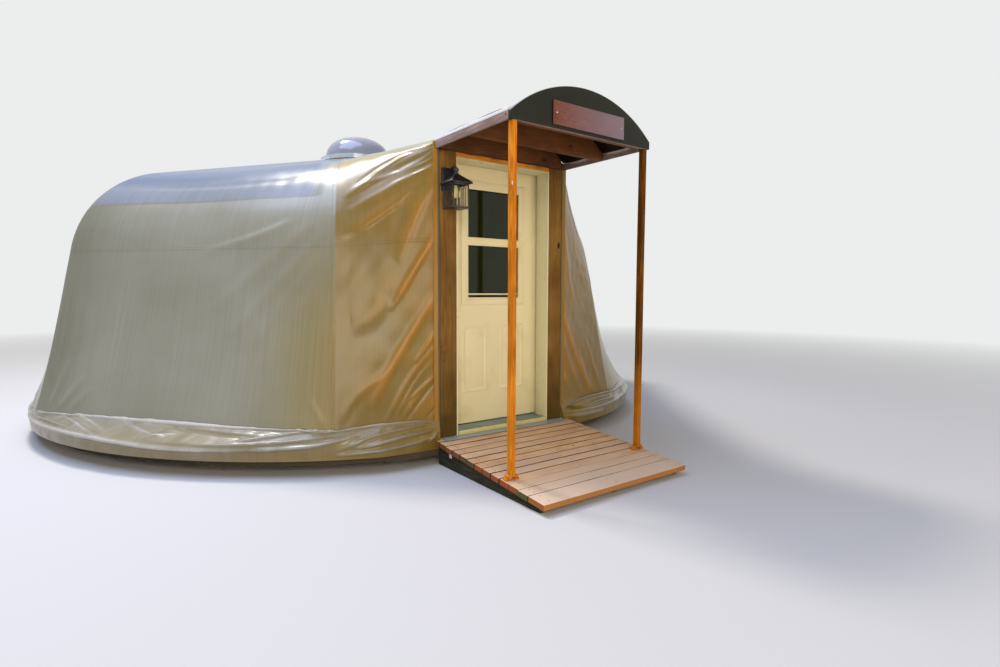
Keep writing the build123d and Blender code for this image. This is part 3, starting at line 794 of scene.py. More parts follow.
GABLE_EDGE = Paint("grey_gable_edging", "#8d8d86", "#6f6f68", roughness=0.45)
CREAM_PAINT = Paint("cream_door_enamel", "#e0d6ac", "#cbbd90", roughness=0.34, gloss=0.3)
LINER_PAINT = Paint("white_liner_vinyl", "#dcd5aa", "#bfb586", roughness=0.3, gloss=0.3)
SILL_METAL = Paint("anodised_sill", "#92a09c", "#747a6c", roughness=0.42, metallic=0.4)
SILL_NOSE = Paint("yellowed_sill_nose", "#c4b678", "#9c8c50", roughness=0.5)
FLASHING = Paint("blue_grey_flashing", "#97a2a0", "#7d8076", roughness=0.4, metallic=0.2)
BLACK_IRON = Paint("black_lantern_enamel", "#131316", "#26262a", roughness=0.34, gloss=0.6)
BRASS = Paint("lacquered_brass", "#b58a3e", "#8c6a2c", roughness=0.24, metallic=1.0)
SCREW_STEEL = Paint("zinc_screw", "#a9a79c", "#77756a", roughness=0.4, metallic=0.9)
DARK_GASKET = Paint("dark_sealant", "#1f1b16", "#2c261f", roughness=0.6)
# Near-white edge of the awning's cloth; the white is partly a painted highlight along its top.
PALE_EDGE_PAINTED_HIGHLIGHT = Paint("pale_awning_edge_painted_highlight", "#dcdcda", "#bdbdbb", roughness=0.5)
WHITE_TAPE = Paint("white_tape", "#d9d2cc", "#b9b0a8", roughness=0.55)
BATTEN = Paint("grey_edge_batten", "#5e5642", "#423b2a", roughness=0.55, gloss=0.2)
CONCRETE = Cement("cast_concrete")
WINDOW_GLASS = Clear("float_glass", "#56652c", 1.36, through=0.9)
LANTERN_GLASS = Clear("lantern_glass", "#f4f5ee", 1.14, roughness=0.0)
SMOKED_ACRYLIC = Clear("smoked_acrylic", "#a3a5b0", 1.55, roughness=0.05, through=0.45)
CLEAR_ACRYLIC = Clear("clear_acrylic_rim", "#e6f0f0", 1.49, roughness=0.08, through=0.6)
BULB_GLASS = Clear("frosted_bulb", "#f0df9c", 1.45, roughness=0.5, through=0.25)


def dress_node(node: str, finish: Finish) -> None:
    """Gives a CAD node its finish."""
    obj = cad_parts[node]
    obj.data.materials.clear()
    obj.data.materials.append(finish.material())


# Cloth


def rounded(line: Array, times: int) -> Array:
    """A bent line with its corners cut off a few times over.

    Args:
        line: The line's corners.
        times: How often its corners are cut.

    Returns:
        The rounder line.
    """
    for _ in range(times):
        cut = np.stack([0.75 * line[:-1] + 0.25 * line[1:], 0.25 * line[:-1] + 0.75 * line[1:]], axis=1)
        line = np.concatenate([line[:1], cut.reshape(-1, 2), line[-1:]])
    return line


@dataclass(frozen=True)
class Fold:
    """A crease that tension pulls in the cloth along a bent line on a panel.

    Places are (across, up) in metres. A fold stands out by height, falls off over above and below its line,
    and fades towards its two ends.
    """

    path: tuple[Pair, ...]
    height: float
    above: float
    below: float

    def lift(self, across: Array, up: Array) -> Array:
        """How far the fold lifts the cloth at each place.

        Args:
            across: Places across the panel.
            up: Places up the panel.

        Returns:
            The lift at each place.
        """
        line = rounded(np.array(self.path), 2)
        steps = np.diff(line, axis=0)
        lengths = np.hypot(steps[:, 0], steps[:, 1])
        before = np.concatenate([[0], np.cumsum(lengths)])
        way = 1 if line[-1, 0] >= line[0, 0] else -1
        gap = np.full(across.shape, np.inf)
        off = np.zeros(across.shape)
        along = np.zeros(across.shape)
        for start, step, length, run in zip(line, steps, lengths, before):
            right, rise = across - start[0], up - start[1]
            share = np.clip((right * step[0] + rise * step[1]) / length**2, 0, 1)
            near = np.hypot(right - share * step[0], rise - share * step[1])
            closer = near < gap
            gap = np.where(closer, near, gap)
            off = np.where(closer, np.sign(rise * step[0] - right * step[1]) * way * near, off)
            along = np.where(closer, (run + share * length) / before[-1], along)
        width = np.where(off > 0, self.above, self.below)
        return self.height * np.sin(math.pi * along) ** 0.6 * np.exp(-((off / width) ** 2))


def pulled(*rows: tuple) -> tuple[Fold, ...]:
    """Folds from rows in millimetres: height, width above, width below, then the places of the line.

    Args:
        rows: One row for each fold.

    Returns:
        The folds, in metres.
    """
    folds = []
    for height, above, below, *line in rows:
        places = tuple((across / 1000, up / 1000) for across, up in line)
        folds.append(Fold(places, height / 1000, above / 1000, below / 1000))
    return tuple(folds)


def stacked(*axes: float | Array) -> Array:
    """Places from their coordinates, each a number or one for every place."""
    return np.stack(np.broadcast_arrays(*axes), axis=-1)


def waves(across: Array, up: Array, height: float, size: float, seed: int) -> Array:
    """Soft unevenness of the cloth, as a sum of a few waves of about this size.

    Args:
        across: Places across the cloth.
        up: Places up the cloth.
        height: How high the waves are.
        size: How long they are.
        seed: Sets where they lie.

    Returns:
        The lift at each place.
    """
    random = np.random.default_rng(seed)
    total = np.zeros_like(across)
    count = 9
    for _ in range(count):
        angle = random.uniform(0, math.pi)
        wave = size * random.uniform(0.6, 1.8)
        phase = random.uniform(0, 2 * math.pi)
        total += np.sin((across * math.cos(angle) + up * math.sin(angle)) * 2 * math.pi / wave + phase)
    return total * height / math.sqrt(count)


def write_cut(obj: Piece, cut: Array) -> None:
    """Writes each point's place on the flat cloth in the piece's UV map.

    Args:
        obj: The piece.
        cut: One place for each point, in metres.
    """
    corner = np.empty(len(obj.data.loops), np.int32)
    obj.data.loops.foreach_get("vertex_index", corner)
    uv = obj.data.uv_layers[0]
    uv.name = "cut"
    uv.data.foreach_set("uv", cut[corner].astype(np.float32).ravel())


def flat_grid(rows: int, columns: int) -> tuple[Piece, Array, Array]:
    """A flat grid that is still to be shaped.

    Args:
        rows: Points upwards.
        columns: Points across.

    Returns:
        The grid, and the row and the column of each of its points.
    """
    deselect_all()
    bpy.ops.mesh.primitive_grid_add(x_subdivisions=columns - 1, y_subdivisions=rows - 1, size=1)
    obj = bpy.context.object
    x, y = read_points(obj)[:, :2].T + 0.5
    return obj, np.rint(y * (rows - 1)).astype(int), np.rint(x * (columns - 1)).astype(int)


def sheet_grid(
    name: str, points: Array, cut: Array, tone: Array, edge: Array
) -> Piece:
    """A sheet of cloth from a grid of points.

    Args:
        name: The piece's name.
        points: Places, row by row from the foot, column by column.
        cut: Each point's place on the flat cut, in metres.
        tone: Each point's tone, which carries painted light: low for the bluish painted sky reflection, about
            0.1 for grey, up to 1 for golden painted warm light.
        edge: Each point's distance from a sewn edge, in metres.

    Returns:
        The sheet, as a single layer that faces outwards.
    """
    obj, row, column = flat_grid(*points.shape[:2])
    write_points(obj, points[row, column])
    write_cut(obj, cut[row, column])
    mark(obj, "tone", tone[row, column])
    mark(obj, "edge", edge[row, column])
    obj.name = name
    return obj


def hang(
    obj: Piece,
    nodes: tuple[str, ...],
    flat: Pair,
    area: float | None = None,
    thickness: float = 0.0018,
    finish: Finish = CLOTH,
) -> Piece:
    """Gives a cloth its thickness and finish, and hides the CAD nodes that it stands for; its flat size is
    worked out but not kept.

    Args:
        obj: The sheet as a single layer.
        nodes: The CAD nodes that it replaces.
        flat: Width and length of the cut cloth.
        area: Area of the cut cloth where it isn't a rectangle; not used.
        thickness: The cloth's thickness.
        finish: What the cloth is made of.

    Returns:
        The finished cloth.
    """
    apply_modifier(obj, "SOLIDIFY", thickness=thickness, offset=-1)
    finish_piece(obj, obj.name, finish, smooth_deg=70)
    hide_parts(*nodes)
    size = tuple(round(side, 2) for side in flat)
    return obj


def lay_out(obj: Piece, tone: float) -> None:
    """Gives a small cloth trim its place on the cut, from its place on the yurt, and one tone.

    Args:
        obj: The trim.
        tone: Its tone, from 0 to 1.
    """
    mark(obj, "tone", tone)
    mark(obj, "edge", 1.0)
    x, y, z = read_points(obj).T
    write_cut(obj, stacked(x - y, z - 5.0))


def denser_low(share: Array) -> Array:
    """Spaces rows closer near the foot, where the cloth creases most."""
    return 0.55 * share + 0.45 * share**3


def lift_along_normals(grid: Array, lift: Array) -> Array:
    """A grid of points moved along its own normals, each by its lift."""
    normals = np.cross(np.gradient(grid, axis=1), np.gradient(grid, axis=0))
    normals /= np.maximum(np.linalg.norm(normals, axis=2, keepdims=True), 1e-9)
    return grid + normals * lift[..., None]


@dataclass(frozen=True)
class RibSection:
    """The cover's outline over a rib: leaning wall, round shoulder and sloping roof."""

    bend_radius: float = 0.880
    bend_centre_r: float = 1.9578
    bend_centre_z: float = 1.4770
    wall_lean: float = math.radians(9.37)
    roof_pitch: float = math.radians(13.5)
    crease: float = 0.302
    crown_r: float = 0.447

    @property
    def wall_length(self) -> float:
        """Length of the wall from the skirt's crease."""
        top = self.bend_centre_z + self.bend_radius * math.sin(self.wall_lean)
        return (top - self.crease) / math.cos(self.wall_lean)

    @property
    def bend_length(self) -> float:
        """Length round the shoulder."""
        return self.bend_radius * (math.pi / 2 - self.wall_lean - self.roof_pitch)

    @property
    def roof_length(self) -> float:
        """Length of the roof to the crown."""
        foot = self.bend_centre_r + self.bend_radius * math.sin(self.roof_pitch)
        return (foot - self.crown_r) / math.cos(self.roof_pitch)

    @property
    def length(self) -> float:
        """The whole length, from crease to crown."""
        return self.wall_length + self.bend_length + self.roof_length

    def at(self, run: Array) -> tuple[Array, Array, Array]:
        """The outline at a distance from the crease.

        Args:
            run: Distances along the outline.

        Returns:
            Radius, height, and the tilt of the outward normal above level.
        """
        on_wall = np.minimum(run, self.wall_length)
        on_bend = np.clip(run - self.wall_length, 0, self.bend_length) / self.bend_radius
        on_roof = np.maximum(run - self.wall_length - self.bend_length, 0)
        tilt = self.wall_lean + on_bend
        short = self.wall_length - on_wall
        radius = self.bend_centre_r + self.bend_radius * np.cos(tilt) + short * math.sin(self.wall_lean)
        height = self.bend_centre_z + self.bend_radius * np.sin(tilt) - short * math.cos(self.wall_lean)
        roof_in, roof_up = on_roof * math.cos(self.roof_pitch), on_roof * math.sin(self.roof_pitch)
        return radius - roof_in, height + roof_up, tilt


SECTION = RibSection()
RIBS = 7
HALF_BAY = math.pi / RIBS


@dataclass(frozen=True)
class FootSpread:
    """How far the cover's foot stands out from the straight line between two ribs.

    The platform is round and the cloth is drawn over its edge, so the foot bellies out between the ribs.
    """

    headings: tuple[float, ...]
    out: tuple[float, ...]
    rise: tuple[float, ...]
    stand: float = 0.0
    stand_heading: float = 26.0
    stand_width: float = 10.0
    reach: float = 0.70
    low_z: float = 0.302
    full_z: float = 1.4
    high_z: float = 2.2

    def apply(self, points: Array) -> Array:
        """Moves cloth points outwards and up, most at the foot; by stand all the way up beside the door.

        Args:
            points: Places of the straight cover.

        Returns:
            The places after the spread.
        """
        heading = np.degrees(np.arctan2(np.abs(points[..., 0]), -points[..., 1]))
        low = part_way(points[..., 2], self.high_z, self.full_z)
        fade = np.exp(-(points[..., 2] - self.low_z) / self.reach) * low
        out = np.interp(heading, self.headings, self.out) * fade
        out = out + self.stand * low * np.exp(-(((heading - self.stand_heading) / self.stand_width) ** 2))
        reach = np.maximum(np.hypot(points[..., 0], points[..., 1]), 0.1)
        moved = points.copy()
        moved[..., :2] *= (1 + out / reach)[..., None]
        moved[..., 2] += np.interp(heading, self.headings, self.rise) * fade**3
        return moved


FOOT_HEADINGS = (12.0, 18, 22, 26, 29, 34, 39, 44, 50, 56, 60, 65, 69, 73, 77, 81, 86, 93, 103, 113, 120)
FOOT_HEADINGS += (129, 140, 154, 168, 180)
LEFT_FOOT = FootSpread(
    FOOT_HEADINGS,
    (0, 0, 0, 0.01, 0.07, 0.11, 0.135, 0.14, 0.14, 0.135, 0.13, 0.13, 0.125, 0.10, 0.075)
    + (0.16, 0.22, 0.28, 0.29, 0.26, 0.19, 0.05, 0.18, 0.26, 0.18, 0.03),
    (0.0,) * 26,
)
RIGHT_FOOT = FootSpread(
    FOOT_HEADINGS,
    (0, 0.01, 0.02, 0.03, 0.11, 0.20, 0.27, 0.30, 0.30, 0.28, 0.26, 0.22, 0.18, 0.13, 0.07)
    + (0.16, 0.22, 0.27, 0.28, 0.25, 0.19, 0.05, 0.18, 0.26, 0.18, 0.03),
    (0, 0, 0.01, 0.02, 0.03, 0.045, 0.05, 0.05, 0.04, 0.03, 0.02, 0.01) + (0.0,) * 14,
    stand=0.035,
)


def spread_foot(points: Array, side: Side) -> Array:
    """Cloth points of one half of the cover, with the foot spread out."""
    return (LEFT_FOOT if side is Side.LEFT else RIGHT_FOOT).apply(points)


def loose_pulls(seed: int) -> tuple[Fold, ...]:
    """Creases of a bay that the photograph doesn't show: short at the foot, long at the shoulders.

    Args:
        seed: Sets where they lie.

    Returns:
        The folds.
    """
    random = np.random.default_rng(seed)
    folds = []
    for place in np.linspace(-1.05, 1.05, 7):
        start = place + random.uniform(-0.12, 0.12)
        lean = random.uniform(-0.16, 0.16)
        top = random.uniform(0.12, 0.3)
        line = ((start, 0.01), (start + lean, top))
        folds.append(Fold(line, random.uniform(0.004, 0.009), 0.022, 0.016))
    for way in (-1, 1):
        for _ in range(3):
            high = (way * random.uniform(1.06, 1.18), random.uniform(1.30, 1.52))
            low = (way * random.uniform(0.3, 0.65), random.uniform(0.5, 0.85))
            folds.append(Fold((high, low), random.uniform(0.004, 0.007), 0.05, 0.04))
    return tuple(folds)


FRONT_LEFT_FOLDS = pulled(
    (-9, 45, 12, (-1000, 1930), (-360, 1925), (150, 1900), (780, 1925), (1020, 2000)),
    (12, 20, 45, (100, 1270), (210, 1310), (480, 1370), (660, 1430), (850, 1520)),
    (12, 50, 40, (1160, 1440), (420, 620)),
    (10, 40, 35, (1180, 1330), (580, 500)),
    (10, 50, 50, (1050, 1500), (220, 800)),
    (7, 35, 30, (1180, 1180), (740, 420)),
    (9, 25, 18, (-1050, 20), (-820, 300)),
    (7, 20, 16, (-930, 10), (-720, 220)),
    (7, 30, 20, (-1150, 50), (-1020, 420)),
    (4, 20, 16, (-450, 10), (-380, 140)),
    (4, 20, 16, (250, 10), (330, 150)),
    (5, 20, 16, (780, 10), (920, 200)),
    (7, 25, 18, (1240, 20), (1080, 260)),
)


@dataclass(frozen=True)
class BaySheet:
    """Cloth over one flat bay, from the skirt's crease to the crown, stretched between two ribs."""

    name: str
    number: int
    folds: tuple[Fold, ...] = ()
    columns: int = 84
    rows: int = 170
    edge_round: float = 0.016
    sag: float = 0.022
    far_tone: float = 0.10
    # Painted warm light towards the door.
    door_warm_light: float = 0.42
    # Where the roof's painted sky reflection begins.
    tone_line: float = 1.745
    cut_share: float = 0.66

    @property
    def side(self) -> Side:
        """The half of the yurt that the bay lies in."""
        return Side.LEFT if self.number < 0 else Side.RIGHT

    @property
    def middle(self) -> float:
        """Heading of the bay's middle."""
        return 2 * HALF_BAY * self.number

    def spread(self, across: Array, up: Array) -> tuple[Array, Array, Array]:
        """Metres from the bay's middle, metres up the outline, and half the bay's width there.

        Args:
            across: Share of the way across.
            up: Share of the rows upwards.

        Returns:
            The three measures, for each place.
        """
        share = 2 * across - 1
        share = 0.6 * np.sin(share * math.pi / 2) + 0.4 * share
        run = denser_low(up) * SECTION.length
        half = SECTION.at(run)[0] * math.sin(HALF_BAY)
        return share * half, run, half

    def place(self, across: Array, up: Array) -> Array:
        """Where each share across and up of the sheet lies.

        Args:
            across: Share of the way across.
            up: Share of the rows upwards.

        Returns:
            Each point's place.
        """
        side, run, half = self.spread(across, up)
        share = side / half
        radius, height, tilt = SECTION.at(run)
        level = np.cos(tilt)
        near = half - np.abs(side)
        rounding = (np.sqrt(near**2 + self.edge_round**2) - near) * math.tan(HALF_BAY) * level
        inward = (1 - share**2) * self.sag * np.sin(math.pi * np.clip(run / SECTION.length, 0, 1)) ** 2
        lift = self.wrinkle(side, run, half) - inward - rounding
        out = radius * math.cos(HALF_BAY) + lift * level
        raised = height + lift * np.sin(tilt)
        normal = (math.sin(self.middle), -math.cos(self.middle))
        tangent = (math.cos(self.middle), math.sin(self.middle))
        x, y = (out * normal[axis] + side * tangent[axis] for axis in (0, 1))
        return spread_foot(stacked(x, y, raised), self.side)

    def wrinkle(self, side: Array, run: Array, half: Array) -> Array:
        """Folds and soft unevenness, dying out at the ribs and the ends.

        Args:
            side: Metres from the bay's middle.
            run: Metres up the outline.
            half: Half the bay's width.

        Returns:
            The lift at each place.
        """
        by_ribs = part_way(half - np.abs(side), 0, 0.16)
        by_ends = part_way(SECTION.length - run, 0, 0.3) * part_way(run, 0, 0.06)
        seed = 30 + self.number
        total = waves(side, run, 0.0035, 0.9, seed) + waves(side, run, 0.0010, 0.22, seed + 50)
        for fold in self.folds:
            total = total + fold.lift(side, run)
        return total * by_ribs * by_ends

    def tone(self, share: Array, run: Array) -> Array:
        """Painted light in the cloth's colour: grey on the wall, a painted bluish sky reflection on the roof,
        painted warm light that turns the two front bays golden towards the door, and painted shade on their
        far side.

        Args:
            share: Share of half the bay's width, from its middle towards the door.
            run: Metres up the outline.

        Returns:
            The tone at each place, from 0 to 1.
        """
        wall = np.full_like(run, self.far_tone)
        by_door = 0.0
        if abs(self.number) == 1:
            # Painted shade: the front bays turn darker towards their far side, away from the door.
            wall -= 0.018 * part_way(-share, 0.45, 0.95)
            # Painted warm light: golden towards the door, low on the wall.
            wall += self.door_warm_light * part_way(share, 0.35, 1.0) ** 1.7 * part_way(run, 1.6, 0.6)
            # Near the door's rib the wall tone, and its gloss, reach up over the shoulder instead of the
            # painted sky reflection.
            by_door = part_way(share, 0.80, 0.92) * part_way(run, 2.5, 2.2)
        # Painted sky reflection: bluish above tone_line, bluer higher on the roof.
        roof = 0.05 * part_way(run, 2.05, 1.95)
        kept = np.maximum(part_way(run, self.tone_line, self.tone_line - 0.02), by_door)
        return wall * kept + roof * (1 - kept)

    def build(self, nodes: tuple[str, ...]) -> Piece:
        """Makes the sheet in place of its CAD nodes.

        Args:
            nodes: The CAD nodes that it stands for.

        Returns:
            The finished cloth.
        """
        across, up = np.meshgrid(np.linspace(0, 1, self.columns + 1), np.linspace(0, 1, self.rows + 1))
        side, run, half = self.spread(across, up)
        to_door = side if self.number < 0 else -side
        cut = stacked(side + 4 * self.number, run)
        tone = self.tone(to_door / half, run)
        obj = sheet_grid(self.name, self.place(across, up), cut, tone, half - to_door)
        foot = 2 * float(half[0, 0])
        return hang(obj, nodes, (foot, SECTION.length), foot * SECTION.length * self.cut_share)


def mirrored(points: Array) -> Array:
    """Points on the other side of the door's middle."""
    return points * np.array([-1.0, 1.0, 1.0])


DOOR_LEFT_FOLDS = pulled(
    (-8, 16, 14, (150, 1800), (320, 1980), (520, 2220)),
    (9, 16, 24, (170, 1750), (340, 1930), (560, 2180)),
    (11, 34, 22, (50, 1680), (230, 1780), (460, 1880)),
    (-10, 34, 40, (180, 1690), (470, 1940), (740, 2120)),
    (13, 30, 42, (80, 1560), (340, 1675), (530, 1780), (740, 1850)),
    (5, 12, 12, (580, 1890), (660, 1920), (740, 1930)),
    (5, 10, 12, (560, 1800), (650, 1820), (740, 1830)),
    (6, 12, 14, (540, 1670), (640, 1700), (740, 1750)),
    (6, 12, 16, (440, 1550), (565, 1620), (700, 1720)),
    (12, 85, 18, (20, 1370), (130, 1400), (260, 1465), (410, 1550), (565, 1675), (740, 1800)),
    (10, 55, 30, (450, 1170), (550, 1380), (630, 1560), (740, 1700)),
    (10, 26, 20, (390, 820), (450, 910), (560, 1090), (740, 1360)),
    (-7, 60, 50, (50, 660), (180, 630), (280, 660), (370, 780), (470, 940)),
    (6, 80, 60, (100, 760), (270, 770), (360, 920)),
    (11, 38, 30, (250, 120), (320, 280), (510, 600), (740, 950)),
    (7, 24, 20, (340, 10), (390, 90), (530, 340), (740, 570)),
    (4, 16, 16, (420, 40), (580, 320), (740, 480)),
    (7, 14, 14, (570, 440), (640, 530), (740, 690)),
    (5, 10, 10, (530, 170), (600, 240), (740, 340)),
    (-5, 12, 14, (490, 10), (590, 140), (740, 320)),
    (4, 18, 16, (450, 10), (560, 160), (730, 370)),
    (6, 40, 30, (20, 50), (130, 220), (280, 320), (420, 420)),
    (-5, 9, 9, (640, 10), (690, 60), (740, 140)),
)
DOOR_RIGHT_FOLDS = pulled(
    (9, 68, 51, (740, 1860), (450, 1740), (60, 1600)),
    (-7, 51, 41, (740, 2100), (400, 1920), (100, 1740)),
    (7, 102, 34, (740, 1720), (400, 1500), (50, 1380)),
    (6, 41, 31, (740, 1420), (580, 1100), (460, 840)),
    (4, 34, 24, (520, 1180), (300, 1200), (50, 1170)),
    (4, 31, 24, (500, 1090), (280, 1110), (60, 1080)),
    (3, 31, 24, (480, 900), (260, 920), (80, 900)),
    (4, 31, 24, (500, 760), (280, 780), (80, 760)),
    (8, 44, 31, (740, 860), (560, 500), (240, 20)),
    (6, 31, 24, (740, 600), (600, 340), (420, 20)),
    (5, 27, 24, (450, 520), (380, 250), (300, 10)),
    (6, 31, 24, (280, 560), (200, 280), (120, 10)),
    (4, 20, 17, (740, 320), (660, 180), (580, 20)),
)


@dataclass(frozen=True)
class Fan:
    """How the cloth's lines spread from the rib's wall and shoulder up to the awning's corner."""

    runs: tuple[float, ...]
    shares: tuple[float, ...]
    passes: int


FANS = {
    Side.LEFT: Fan((1.2, 1.36, 1.55, 1.75, 2.0, 2.3), (0.0, 0.22, 0.5, 0.76, 0.94, 1.0), 700),
    Side.RIGHT: Fan((1.0, 1.15, 1.3, 1.45, 1.6, 1.75), (0.0, 0.25, 0.5, 0.78, 0.95, 1.0), 100),
}


@dataclass(frozen=True)
class DoorBay:
    """Cloth over the doorway's bay: pulled forward from two ribs and the crown to the posts and awning."""

    columns: int = 116
    rib_rows: int = 290
    arch_rows: int = 30
    post_x: float = -0.600
    front_y: float = -2.925
    foot_z: float = 0.318
    corner_z: float = 2.343
    arch_radius: float = 0.9209
    nominal: float = 0.75
    turn: float = 0.022
    turn_runs: Pair = (1.0, 1.6)
    taut_runs: Pair = (1.35, 1.65)
    row_step: float = 0.022
    side_cut: Triple = (1.55, SECTION.length, 2.4)
    top_cut: Triple = (1.3, 2.6, 2.2)

    def post_height(self, run: Array, fan: Fan) -> Array:
        """Height at the post for each place up the rib: level at first, then up to the awning's corner.

        Args:
            run: Metres up the rib.
            fan: How the lines spread.

        Returns:
            The heights at the post.
        """
        level, start = (
            self.foot_z + length * math.cos(SECTION.wall_lean)
            for length in (np.minimum(run, fan.runs[0]), fan.runs[0])
        )
        return level + (self.corner_z - start) * np.interp(run, fan.runs, fan.shares)

    def frame_lines(self, side: Side) -> tuple[Array, Array]:
        """The two edges of one half, as if it were the left one, from the foot to the middle of the arch.

        Args:
            side: The half that is made.

        Returns:
            Points along the rib and crown, and points along the post and arch.
        """
        up = np.linspace(0, 1, self.rib_rows)
        rib = BaySheet("neighbour", side.value).place(np.full_like(up, side is Side.LEFT), up)
        rib = rib if side is Side.LEFT else mirrored(rib)
        height = self.post_height(denser_low(up) * SECTION.length, FANS[side])
        post = stacked(self.post_x, self.front_y, height)
        turn = np.linspace(-HALF_BAY, 0, self.arch_rows + 1)[1:]
        reach = math.hypot(rib[-1, 0], rib[-1, 1])
        ring = stacked(reach * np.sin(turn), -reach * np.cos(turn), rib[-1, 2])
        lean = np.linspace(math.asin(self.post_x / self.arch_radius), 0, self.arch_rows + 1)[1:]
        low = self.corner_z - math.sqrt(self.arch_radius**2 - self.post_x**2)
        arch = stacked(self.arch_radius * np.sin(lean), self.front_y, low + self.arch_radius * np.cos(lean))
        return np.concatenate([rib, ring]), np.concatenate([post, arch])

    def shares(self) -> Array:
        """Shares of the way from the rib to the post, closer together near the rib."""
        return np.linspace(0, 1, self.columns + 1) ** 1.15

    def surface(self, side: Side) -> Array:
        """One half as a relaxed skin between its two edges, row by row.

        Args:
            side: The half that is made.

        Returns:
            The points, as if it were the left half.
        """
        rib, post = self.frame_lines(side)
        share = self.shares()[None, :, None]
        straight = rib[:, None] * (1 - share) + post[:, None] * share
        skin = straight.copy()
        ridge = self.rib_rows - 1
        for part in (skin[: ridge + 1], skin[ridge:]):
            for _ in range(FANS[side].passes):
                sides = part[1:-1, :-2] + part[1:-1, 2:]
                part[1:-1, 1:-1] = (part[:-2, 1:-1] + part[2:, 1:-1] + sides) / 4
        around = np.array([math.cos(HALF_BAY), -math.sin(HALF_BAY), 0.0])
        reach = np.linalg.norm(skin - skin[:, :1], axis=2, keepdims=True)
        start = (skin[:, 3:4] - skin[:, :1]) / reach[:, 3:4]
        run = denser_low(np.linspace(0, 1, self.rib_rows)) * SECTION.length
        run = np.concatenate([run, np.full(self.arch_rows, SECTION.length)])[:, None, None]
        taut = part_way(run, *self.taut_runs) * (1 - share)
        skin = skin * (1 - taut) + straight * taut
        fade = 1 - part_way(run, *self.turn_runs)
        return skin + (around - start) * reach * np.exp(-reach / self.turn) * fade * 0.9

    def flat_places(self) -> tuple[Array, Array]:
        """Each point's place on the flat cloth: metres from the rib, metres up."""
        low = denser_low(np.linspace(0, 1, self.rib_rows)) * SECTION.length
        up = np.concatenate([low, SECTION.length + self.row_step * np.arange(1, self.arch_rows + 1)])
        return np.meshgrid(self.shares() * self.nominal, up)

    def half(self, side: Side, folds: tuple[Fold, ...]) -> tuple[Array, Array]:
        """One half with its folds, as if it were the left one, and how far each place is lifted.

        Args:
            side: The half that is made.
            folds: What creases it.

        Returns:
            The points, and the lift at each.
        """
        seed = 4 + side.value
        skin = self.surface(side)
        across, up = self.flat_places()
        share = across / self.nominal
        by_edges = part_way(share, 0, 0.12) * part_way(1 - share, 0, 0.05)
        by_ends = part_way(up, 0, 0.05) * part_way(SECTION.length - up, 0, 0.3)
        total = waves(across, up, 0.003, 0.5, seed) + waves(across, up, 0.001, 0.15, seed + 1)
        for fold in folds:
            total = total + fold.lift(across, up)
        total = total * by_edges * by_ends
        return lift_along_normals(skin, total), total

    def build(self) -> dict[Side, Array]:
        """Makes the two sides and the top.

        Returns:
            The feet of the left and right halves, from the rib to the post, as if both were left ones.
        """
        left, left_lift = self.half(Side.LEFT, DOOR_LEFT_FOLDS)
        right, right_lift = self.half(Side.RIGHT, DOOR_RIGHT_FOLDS)
        right = mirrored(right)
        across, up = self.flat_places()
        share = across / self.nominal
        # Painted warm light: golden towards the post, strongest on the last strip by it, and fading to grey
        # up the shoulder and roof.
        tone = 0.60 + 0.14 * share**0.6 + 0.17 * part_way(share, 0.88, 0.98)
        tone = tone * (1 - 0.75 * part_way(up, 1.75, 2.85))
        # Painted reflection: low down near the rib, lifted fold ridges get a warmer, more golden tone and
        # hollows a cooler one.
        ridge_light = 0.20 * part_way(up, 1.70, 1.45) * part_way(share, 0, 0.4)
        edge = (1 - share) * self.nominal
        cut = stacked(across, up)
        ridge = self.rib_rows
        for name, skin, lift, way in (("left", left, left_lift, 1), ("right", right, right_lift, -1)):
            # The tone with the ridges' painted reflection.
            ridge_lit_tone = tone + ridge_light * np.clip(lift / 0.010, -0.4, 1)
            grids = [grid[:ridge, ::way] for grid in (skin, cut, ridge_lit_tone, edge)]
            obj = sheet_grid(f"door_bay_{name}", *grids)
            hang(obj, (f"door_cover_{name}",), self.side_cut[:2], self.side_cut[2])
        halves = ((left, right), (cut, cut), (tone, tone), (edge + 1, edge + 1))
        top = [np.concatenate([one[ridge - 1 :], other[ridge - 1 : -1][::-1]]) for one, other in halves]
        hang(sheet_grid("door_bay_top", *top), ("door_cover_top",), self.top_cut[:2], self.top_cut[2])
        return {Side.LEFT: left[0], Side.RIGHT: mirrored(right[0])}


